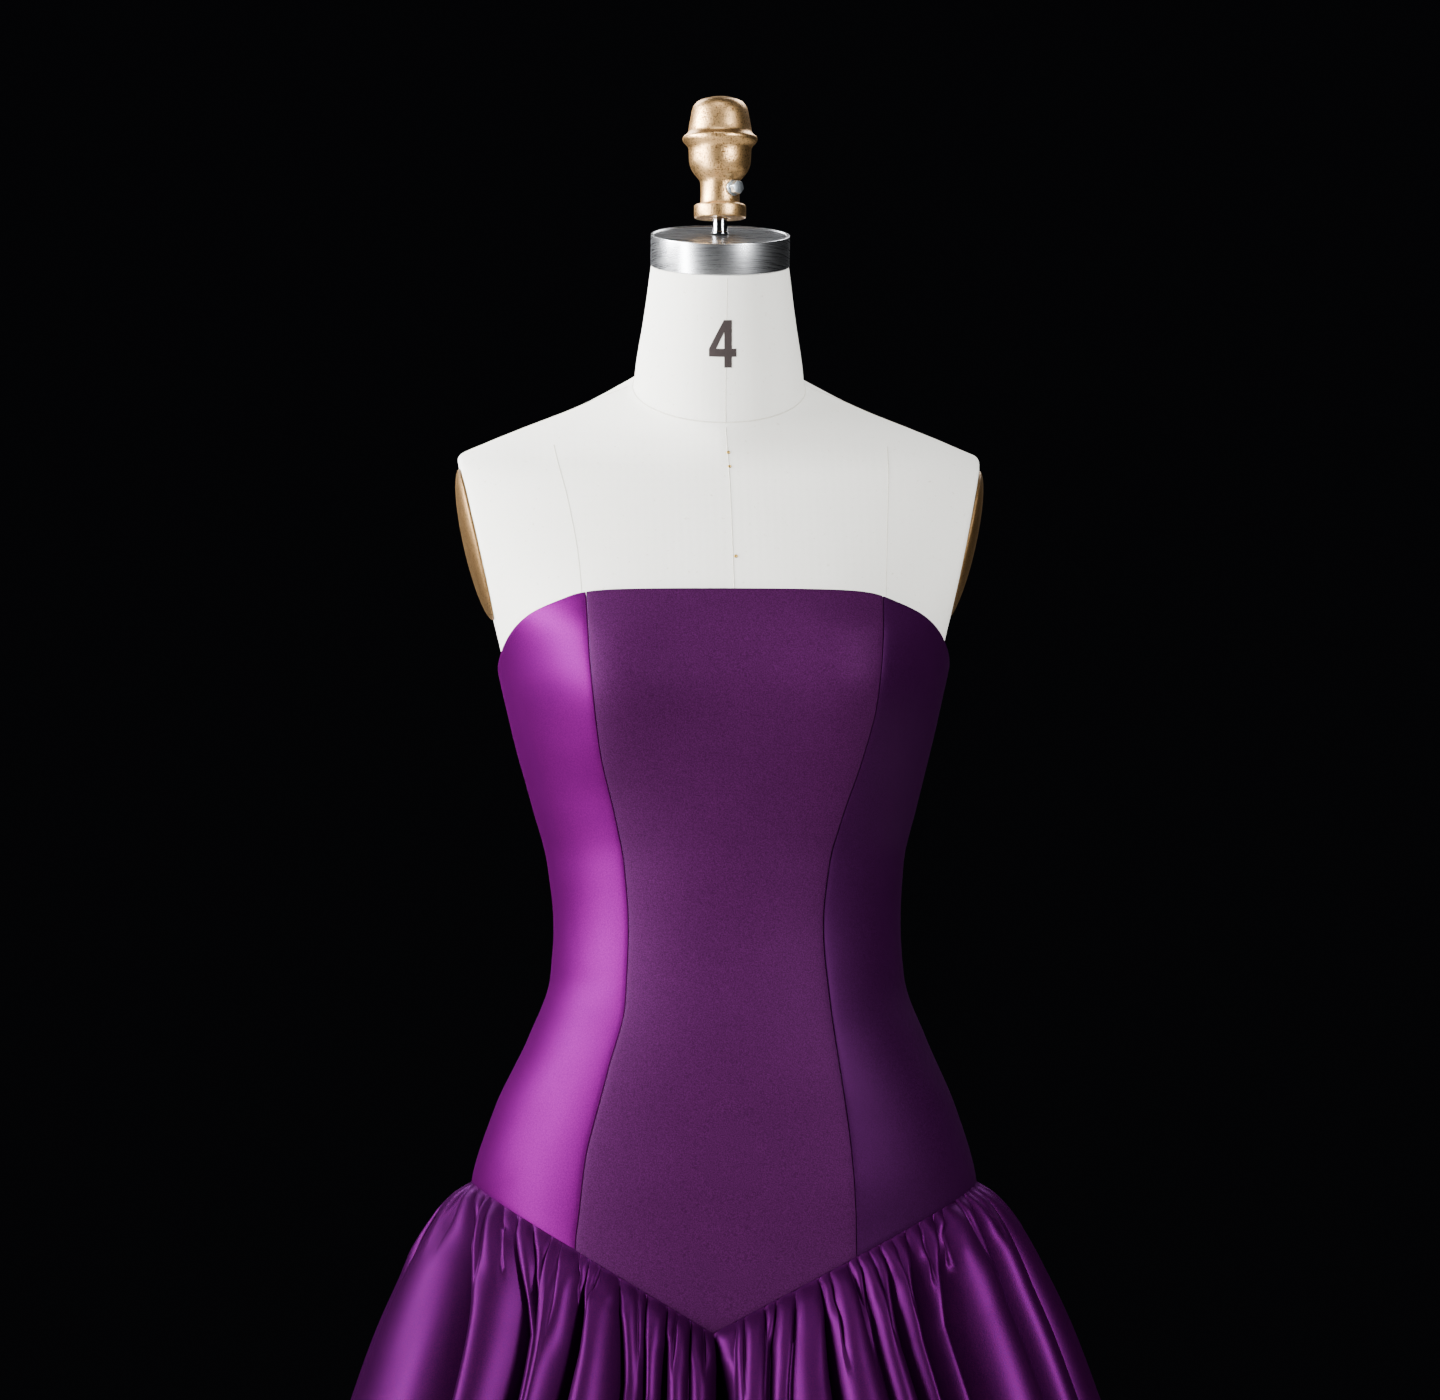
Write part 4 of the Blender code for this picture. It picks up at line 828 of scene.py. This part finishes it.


# The whole dress is one satin, but here it has five copies whose colours, metallic shares and roughness
# differ, as painted light and shade. The centre front is darker and duller, the wearer's right side front is
# brighter and glossier as a painted sheen, the wearer's left side front is darker as painted shade, and the
# back panels and the skirt have copies of their own. They stand in for the sheen of the satin's floats, which
# shine most across their own direction and which a plain shader can't give. They suit one light, so under
# other light the panels look like different cloths.
# The centre front's copy is painted darker and duller than the sides, as painted shade where its sheen would
# fall.
satin_shaded_front = satin("violet_satin_shaded_front", "#290629", "#401241", 0.30, 0.62)
# The wearer's right side front's copy is brighter and far more metallic: a painted sheen.
satin_painted_sheen = satin("violet_satin_painted_sheen", "#4B004D", "#5C045A", 0.88, 0.53)
# The wearer's left side front's copy is darker: painted shade.
satin_painted_shade = satin("violet_satin_painted_shade", "#230426", "#300835", 0.50, 0.52)
# The back panels' copy has its own colour and gloss, set for how the light falls on them: painted light and
# shade.
satin_behind = satin("violet_duchesse_satin_behind", "#480C4A", "#5D145F", 0.70, 0.44)
PANELS = {
    # its lines from seam to seam, columns, its satin, and its cut size: width, length and area
    "bodice_front": (lambda z: [front_seam(z, -1), point_line(z), front_seam(z, 1)], 48, satin_shaded_front,
                     (0.215, 0.515, 0.0870)),
}
# The two side fronts take the copies with the painted sheen and the painted shade.
for side, hand, painted_light_satin in (("left", 1, satin_painted_shade), ("right", -1, satin_painted_sheen)):
    PANELS[f"bodice_side_front_{side}"] = (
        lambda z, h=hand: [front_seam(z, h), h * 90.0 + 0 * z], 32, painted_light_satin, (0.130, 0.430, 0.0490))
    PANELS[f"bodice_side_back_{side}"] = (
        lambda z, h=hand: [h * 90.0 + 0 * z, back_seam(z, h)], 28, satin_behind, (0.145, 0.370, 0.0485))
    PANELS[f"bodice_back_{side}"] = (
        lambda z, h=hand: [back_seam(z, h), h * 180.0 + 0 * z], 20, satin_behind, (0.090, 0.375, 0.0260))


def face_outwards(cloth, face):
    """Turns a cloth's faces round if the one given looks towards the figure's middle."""
    if face.normal.dot(Vector((*face.center[:2], 0.0))) < 0:
        cloth.flip_normals()


for name, (lines, columns, finish, cut) in PANELS.items():
    panel = grid_mesh(f"satin_{name}", panel_grid(lines, columns))
    face_outwards(panel.data, panel.data.polygons[len(panel.data.polygons) // 2])
    apply_modifier(panel, "SOLIDIFY", thickness=PANEL_WALL, offset=-1.0, use_rim=True)
    soften_edges(panel, 0.0006, 55)
    panel.data.shade_smooth()
    finish_piece(panel, finish, hides=(name,))


# The skirt
# Two wide panels of the same satin, gathered on two rows of thread into the waist seam. The gathers
# spring out under the seam and run together into long soft folds that hang to a plain turned hem.
HEM_LEVEL = 0.015
SKIRT_FLARE = np.array([
    # how far the ridges stand out from the waist seam, by their drop below it
    (0.0, 0.0024), (0.003, 0.0078), (0.008, 0.0152), (0.022, 0.0280), (0.053, 0.0475), (0.099, 0.0700),
    (0.151, 0.0900), (0.300, 0.1440), (0.500, 0.2120), (0.700, 0.2760), (0.860, 0.3250)])
FRONT_FLARE = 0.24
BACK_FLARE = 0.14
FOLD_DEPTH = np.array([(0.0, 0.0), (0.005, 0.0035), (0.010, 0.0090), (0.030, 0.0290), (0.070, 0.0440),
                       (0.140, 0.0500), (0.260, 0.0530), (0.860, 0.0590)])
GATHER_DEPTH = np.array([(0.0, 0.0020), (0.004, 0.0066), (0.012, 0.0110), (0.030, 0.0115), (0.060, 0.0105)])
GATHER_WIDTH = 0.0120
GATHER_LIVES = (0.016, 0.022, 0.030, 0.040, 0.052)
COLUMNS_PER_GATHER = 10
SKIRT_DROP = 0.80
ROW_STEP = dict(first=0.0018, growth=1.045, last=0.0125)
SIDE_SEAM_COLUMNS = 14
HEM_TURN = 0.018
ALLOWANCE = 0.0045
VALLEY_FLOOR = 0.0045
CLOTH = 0.0010
FRONT_VALLEYS = [
    # the valleys between the folds, from the wearer's right: the angle at the seam and lower down, the
    # depth, the drop at which a short one is half gone, and how far the fold after it lies back
    (-90.0, -90.0, 0.15, 9.0, 0.000), (-80.2, -62.0, 1.00, 9.0, 0.000), (-64.4, -50.8, 1.00, 9.0, 0.020),
    (-60.6, -46.9, 0.75, 9.0, 0.000), (-45.6, -40.8, 1.00, 9.0, 0.000), (-37.8, -28.4, 0.60, 9.0, 0.012),
    (-29.9, -23.1, 0.60, 9.0, 0.014), (-23.0, -18.9, 0.80, 9.0, 0.006), (-15.2, -12.2, 0.35, 0.30, 0.003),
    (-6.7, -3.4, 1.00, 9.0, 0.000), (16.2, 7.2, 0.40, 9.0, 0.003), (22.9, 11.4, 0.25, 0.20, 0.000),
    (30.2, 24.4, 0.70, 9.0, 0.000), (41.5, 36.0, 0.45, 9.0, 0.006), (47.6, 42.2, 0.80, 9.0, 0.004),
    (54.3, 47.0, 1.00, 9.0, 0.012), (62.3, 53.6, 1.00, 9.0, 0.003), (73.4, 69.0, 0.80, 9.0, 0.002),
    (80.2, 76.5, 0.35, 0.30, 0.000), (90.0, 90.0, 0.30, 9.0, 0.000)]
BACK_VALLEYS = [
    (90.0, 90.0, 0.30, 9.0, 0.000), (97.0, 104.0, 0.60, 9.0, 0.002), (103.0, 109.0, 0.40, 0.2, 0.006),
    (111.0, 117.5, 0.90, 9.0, 0.000), (118.5, 124.0, 0.50, 0.3, 0.008), (126.0, 131.5, 0.95, 9.0, 0.000),
    (133.0, 137.0, 0.40, 0.12, 0.003), (140.0, 144.5, 0.75, 9.0, 0.000), (149.0, 152.0, 0.55, 0.36, 0.010),
    (157.5, 160.0, 1.00, 9.0, 0.000), (166.0, 167.5, 0.45, 0.18, 0.004), (174.0, 175.0, 0.80, 9.0, 0.000),
    (183.0, 182.0, 0.40, 0.24, 0.000), (191.5, 189.0, 1.00, 9.0, 0.002), (200.0, 197.5, 0.60, 0.44, 0.006),
    (207.5, 204.0, 0.85, 9.0, 0.000), (215.5, 211.5, 0.40, 0.15, 0.008), (223.0, 218.0, 0.95, 9.0, 0.000),
    (232.0, 226.0, 0.55, 0.28, 0.003), (239.5, 233.5, 0.90, 9.0, 0.000), (248.0, 241.0, 0.45, 0.2, 0.010),
    (256.0, 250.0, 0.75, 9.0, 0.000), (263.5, 259.0, 0.45, 0.3, 0.004), (270.0, 270.0, 0.15, 9.0, 0.000)]


def fade(at, over, length):
    """1 before a drop and 0 a length after it."""
    t = np.clip((at - over) / length, 0.0, 1.0)
    return 1 - t * t * (3 - 2 * t)


seam_turns = np.arange(-92.0, 272.25, 0.25)
seam_levels = waist_seam(seam_turns)
seam_ring = figure_points(seam_turns, seam_levels, 0.0018)


def seam_at(angle):
    """The place on the waist seam at each angle."""
    place = np.stack([np.interp(angle, seam_turns, seam_ring[:, k]) for k in range(3)], axis=-1)
    return place, np.interp(angle, seam_turns, seam_levels) - SEAM_GAP


def skirt_points(angle, down, inset, push):
    """Points of the skirt, down a share of the way to the hem, moved in and aside from its widest form."""
    start, level = seam_at(angle)
    drop = (level - HEM_LEVEL) * down
    turn = np.radians(angle)
    boost = np.where(np.cos(turn) > 0, FRONT_FLARE, BACK_FLARE) * np.minimum(1.0, drop / 0.25)
    out = table_value(SKIRT_FLARE, drop) * (1 + boost * np.cos(turn) ** 2) - inset
    x = start[..., 0] + np.sin(turn) * out + np.cos(turn) * push
    y = start[..., 1] - np.cos(turn) * out + np.sin(turn) * push
    return np.stack((x, y, level - drop), axis=-1)


def gather_columns(valleys, source):
    """Columns in uneven gathers: each one's fold, its place in the fold, its gather and its place in that."""
    cells, along, gathers, within = [], [], [], []
    count = 0
    for i in range(len(valleys) - 1):
        ends, _ = seam_at(np.array([valleys[i, 0], valleys[i + 1, 0]]))
        number = max(1, round(float(np.linalg.norm(ends[1] - ends[0])) / GATHER_WIDTH))
        steps = [source.uniform(0.45, 1.7) for _ in range(number)]
        cuts = np.concatenate(([0.0], np.cumsum(steps) / sum(steps)))
        for j in range(number):
            for c in range(COLUMNS_PER_GATHER):
                share = c / COLUMNS_PER_GATHER
                cells.append(i)
                along.append(cuts[j] + (cuts[j + 1] - cuts[j]) * share)
                gathers.append(count)
                within.append(share)
            count += 1
    cells, gathers = np.array(cells + [len(valleys) - 2]), np.array(gathers + [count - 1])
    return cells, np.array(along + [1.0]), gathers, np.array(within + [1.0])


def soften_hang(points, angle, drops):
    """Moves the skirt in and out a little, as cloth that hangs by its own weight."""
    for r in range(points.shape[0]):
        wide, fine = 0.0045 * min(1.0, drops[r] / 0.2), 0.0008 * min(1.0, drops[r] / 0.05)
        for k in range(points.shape[1]):
            level = points[r, k, 2]
            turn = math.radians(angle[r, k])
            around = Vector((math.cos(turn), math.sin(turn), 0.0))
            soft = noise.noise(around * 7.0 + Vector((0, 0, level * 4.0))) * wide
            soft += noise.noise(around * 11.0 + Vector((5, 0, level * 11.0))) * fine
            points[r, k] += np.array((math.sin(turn), -math.cos(turn), 0.0)) * soft


def finish_edges(points, angle):
    """Adds the seam allowance above the skirt's rows of points and the turned hem below them."""
    turn = np.radians(angle)
    away = np.stack((np.sin(turn), -np.cos(turn), 0 * turn), axis=-1)
    start, level = seam_at(angle[0])
    tucked = np.stack((start[:, 0], start[:, 1], level), axis=-1) - away[0] * 0.0004
    tucked[:, 2] += ALLOWANCE
    inner = []
    for lift in (0.0, 0.004, 0.009, HEM_TURN):
        row = points[-1] + (points[-2] - points[-1]) * (lift / ROW_STEP["last"])
        inner.append(row - away[-1] * (CLOTH + 0.0007 + (0.0002 if lift else 0.0)))
    rows = np.concatenate((tucked[None], points, np.array(inner)))
    rows[len(points):len(points) + 2, :, 2] = HEM_LEVEL
    return rows


def skirt_half(valleys, source):
    """One skirt panel's rows of points, from the seam to the hem and up again inside its turned edge."""
    valleys = np.array(valleys)
    drops = [0.0]
    step = ROW_STEP["first"]
    while drops[-1] < SKIRT_DROP:
        drops.append(drops[-1] + step)
        step = min(ROW_STEP["last"], step * ROW_STEP["growth"])
    down = np.array(drops) / drops[-1]
    drops = down * SKIRT_DROP
    cells, along, gathers, within = gather_columns(valleys, source)
    count = gathers[-1] + 1

    wander = np.array([source.uniform(-1.0, 1.0) for _ in valleys])
    phase = np.array([source.uniform(0.0, 6.28) for _ in valleys])
    pull = np.minimum(1.0, (1 - np.exp(-drops / 0.045)) / 0.95)
    course = valleys[:, 0] + (valleys[:, 1] - valleys[:, 0]) * pull[:, None]
    bend = 0.4 * wander * np.sin(phase + drops[:, None] * 11.0) * np.minimum(1.0, drops[:, None] / 0.12)
    bend[:, 0] = bend[:, -1] = 0.0
    course = course + bend
    widest = skirt_points(course, down[:, None], 0.0, 0.0)
    spans = np.linalg.norm(np.diff(widest, axis=1), axis=2)
    beside = np.concatenate((spans[:, :1], (spans[:, 1:] + spans[:, :-1]) / 2, spans[:, -1:]), axis=1)
    alive = fade(drops[:, None], 0.7 * valleys[:, 3] - 0.03, 0.06 + 0.7 * valleys[:, 3])
    depth = np.minimum(table_value(FOLD_DEPTH, drops)[:, None], 1.25 * beside) * valleys[:, 2] * alive
    gap = VALLEY_FLOOR * valleys[:, 2] ** 3 * np.minimum(1.0, drops[:, None] / 0.05) * alive

    angle = course[:, cells] + (course[:, cells + 1] - course[:, cells]) * along
    here = depth[:, cells] * (1 - along) + depth[:, cells + 1] * along
    lean = np.array([source.uniform(0.80, 1.25) for _ in valleys])[cells]
    low, high = (np.minimum(0.25, gap[:, cells + n] / spans[:, cells]) for n in (0, 1))
    across = np.clip((along ** lean - low) / (1 - low - high), 0.0, 1.0)
    full = np.clip(here / (0.45 * spans[:, cells]), 0.0, 1.0)
    ridge = np.abs(np.sin(np.pi * across)) ** (1.60 - 1.05 * full)
    inset = here * (1 - ridge)
    back = valleys[:, 4] + np.array([source.uniform(0.0, 0.004) for _ in valleys])
    back = np.concatenate((back[:1], back[:-1], back[-2:-1]))
    set_back = np.interp(cells + along, np.arange(-0.5, len(valleys) + 0.5), back)
    inset = inset + set_back * np.minimum(1.0, drops[:, None] / 0.06)
    push = -0.35 * spans[:, cells] / (2 * np.pi) * np.minimum(1.0, here / (0.3 * spans[:, cells]))
    push = push * np.sin(2 * np.pi * along)

    life = np.array([source.choice(GATHER_LIVES) * source.uniform(0.8, 1.2) for _ in range(count)])
    size = np.array([source.uniform(0.45, 1.0) for _ in range(count)])
    share = np.array([np.ptp(along[gathers == j]) + 1e-6 for j in range(count)])[gathers] * 1.12
    width = spans[:, cells] * share
    small = np.minimum(table_value(GATHER_DEPTH, drops)[:, None] * size[gathers], 0.9 * width)
    small = small * fade(drops[:, None], life[gathers] * 0.4, life[gathers])
    inset = inset + small * (1 - np.abs(np.sin(np.pi * within)) ** 0.7)
    sway = 0.45 * width / (2 * np.pi) * np.minimum(1.0, small / (0.3 * width))
    push = push - sway * np.sin(2 * np.pi * within)

    for end, steps in ((0, np.arange(len(along))), (-1, np.arange(len(along))[::-1])):
        common = table_value(FOLD_DEPTH, drops) * valleys[end, 2]
        shift = (inset[:, end] - common)[:, None] * fade(steps, 0, SIDE_SEAM_COLUMNS)
        inset = np.maximum(0.0, inset - shift)
    edge = np.linspace(1.0, -1.0, len(along))[None, :]
    push = push * (1 - np.abs(edge) ** 30) + SEAM_GAP / 2 * edge * (np.abs(edge) > 0.999)
    room = table_value(SKIRT_FLARE, drops)[:, None] - 0.0012
    points = skirt_points(angle, down[:, None], np.minimum(inset, room), push)
    soften_hang(points, angle, drops)
    return finish_edges(points, angle)


random_hand = random.Random(7)
SKIRTS = {
    # its valleys, and its cut size: width at the hem, length and area
    "skirt_front": (FRONT_VALLEYS, (2.36, 0.92, 1.58)),
    "skirt_back": (BACK_VALLEYS, (2.33, 0.92, 1.64)),
}
# The skirt's copy of the satin has its own darker colour and gloss: painted shade that suits the light on the
# skirt.
satin_hanging = satin("violet_duchesse_satin_hanging", "#30043A", "#41083F", 0.80, 0.45)
for name, (valleys, cut) in SKIRTS.items():
    half = grid_mesh(f"satin_{name}", skirt_half(valleys, random_hand))
    face_outwards(half.data, half.data.polygons[len(half.data.polygons) // 3])
    apply_modifier(half, "SOLIDIFY", thickness=CLOTH, offset=-1.0, use_rim=True)
    half.data.shade_smooth()
    finish_piece(half, satin_hanging, hides=(name,))


# The zip
# A coil zip dyed to match, in the centre back seam. Its teeth close the seam under the slider, and the
# pull hangs from the slider's pin.
ZIP = dict(top=1.1905, foot=0.880, pitch=0.00115, tooth=0.0024, wire=0.00042, weave=0.00035)
STITCH = dict(aside=0.0068, pitch=0.0034, length=0.0027, thread=0.00024, below=0.004, above=0.016)
THREAD_OUT = 0.0001
BAR_SIDES = 6
BAR_RINGS = [(-0.5, 0.35, -0.6), (-0.42, 0.85, -0.1), (0.0, 1.0, 0.2), (0.42, 0.85, -0.1),
             (0.5, 0.35, -0.6)]


def thread_bars(name, places, length, radius):
    """Short round bars on a surface, such as stitches. A place is a middle, its way and the way out."""
    made = bmesh.new()
    for middle, way, outward in places:
        across = way.cross(outward)
        rings = []
        for share, size, lift in BAR_RINGS:
            hub = middle + way * length * share + outward * radius * lift
            turns = [math.tau * k / BAR_SIDES for k in range(BAR_SIDES)]
            ways = [across * math.cos(t) + outward * math.sin(t) for t in turns]
            rings.append([made.verts.new(hub + spoke * radius * size) for spoke in ways])
        for low, high in zip(rings, rings[1:]):
            for k in range(BAR_SIDES):
                n = (k + 1) % BAR_SIDES
                made.faces.new((low[k], low[n], high[n], high[k]))
        made.faces.new(rings[0])
        made.faces.new(rings[-1])
    bmesh.ops.recalc_face_normals(made, faces=made.faces)
    mesh = bpy.data.meshes.new(name)
    made.to_mesh(mesh)
    made.free()
    mesh.shade_smooth()
    return new_object(name, mesh)


def back_spot(across, level, out):
    """A point on the back of the bodice, with the way down the cloth and the way out of it there."""
    here, above = (Vector(figure_points(angle_at(across, z, out, in_front=False), z, out))
                   for z in (level, level + 0.001))
    way = (above - here).normalized()
    turn = Vector((1.0, 0.0, 0.0))
    return here, way, way.cross(turn).normalized()


coil_places = []
for k in range(int((ZIP["top"] - ZIP["foot"]) / ZIP["pitch"])):
    here, way, outward = back_spot(0.0, ZIP["foot"] + k * ZIP["pitch"], CLOTH_OUT + THREAD_OUT)
    here.x += ZIP["weave"] * (1 if k % 2 else -1)
    coil_places.append((here, Vector((1.0, 0.0, 0.0)), outward))
coil = thread_bars("zip_coil", coil_places, ZIP["tooth"], ZIP["wire"])
nylon, tree, shader, place = new_finish("dyed_nylon_coil", Roughness=0.55, Specular_IOR_Level=0.25)
two_tones(tree, shader, place, 300.0, "#3C1244", "#531C5C")
finish_piece(coil, nylon)

stitch_places = []
for hand in (1, -1):
    for k in range(int((ZIP["top"] + STITCH["above"] - ZIP["foot"]) / STITCH["pitch"])):
        level = ZIP["foot"] - STITCH["below"] + k * STITCH["pitch"]
        stitch_places.append(back_spot(hand * STITCH["aside"], level, CLOTH_OUT + THREAD_OUT))
stitches = thread_bars("zip_stitches", stitch_places, STITCH["length"], STITCH["thread"])
thread, tree, shader, place = new_finish("twisted_polyester_thread", Roughness=0.6, Specular_IOR_Level=0.25)
two_tones(tree, shader, place, 1500.0, "#4E1A56", "#6B2A73")
finish_piece(stitches, thread)

# The slider and its pull are die-cast zinc under a violet lacquer: smooth, with a soft shine. They keep the
# solids' own meshes.
lacquer, tree, shader, place = new_finish("violet_lacquered_zinc", Metallic=0.7, Roughness=0.30,
                                          Coat_Weight=0.4, Coat_Roughness=0.15)
two_tones(tree, shader, place, 600.0, "#5A2767", "#7E4590", detail=3.0)
for node_name in ("zip_slider", "zip_pull"):
    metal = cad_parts[node_name]
    for slot_index in range(max(1, len(metal.material_slots))):
        if metal.material_slots:
            metal.material_slots[slot_index].material = lacquer
        else:
            metal.data.materials.append(lacquer)
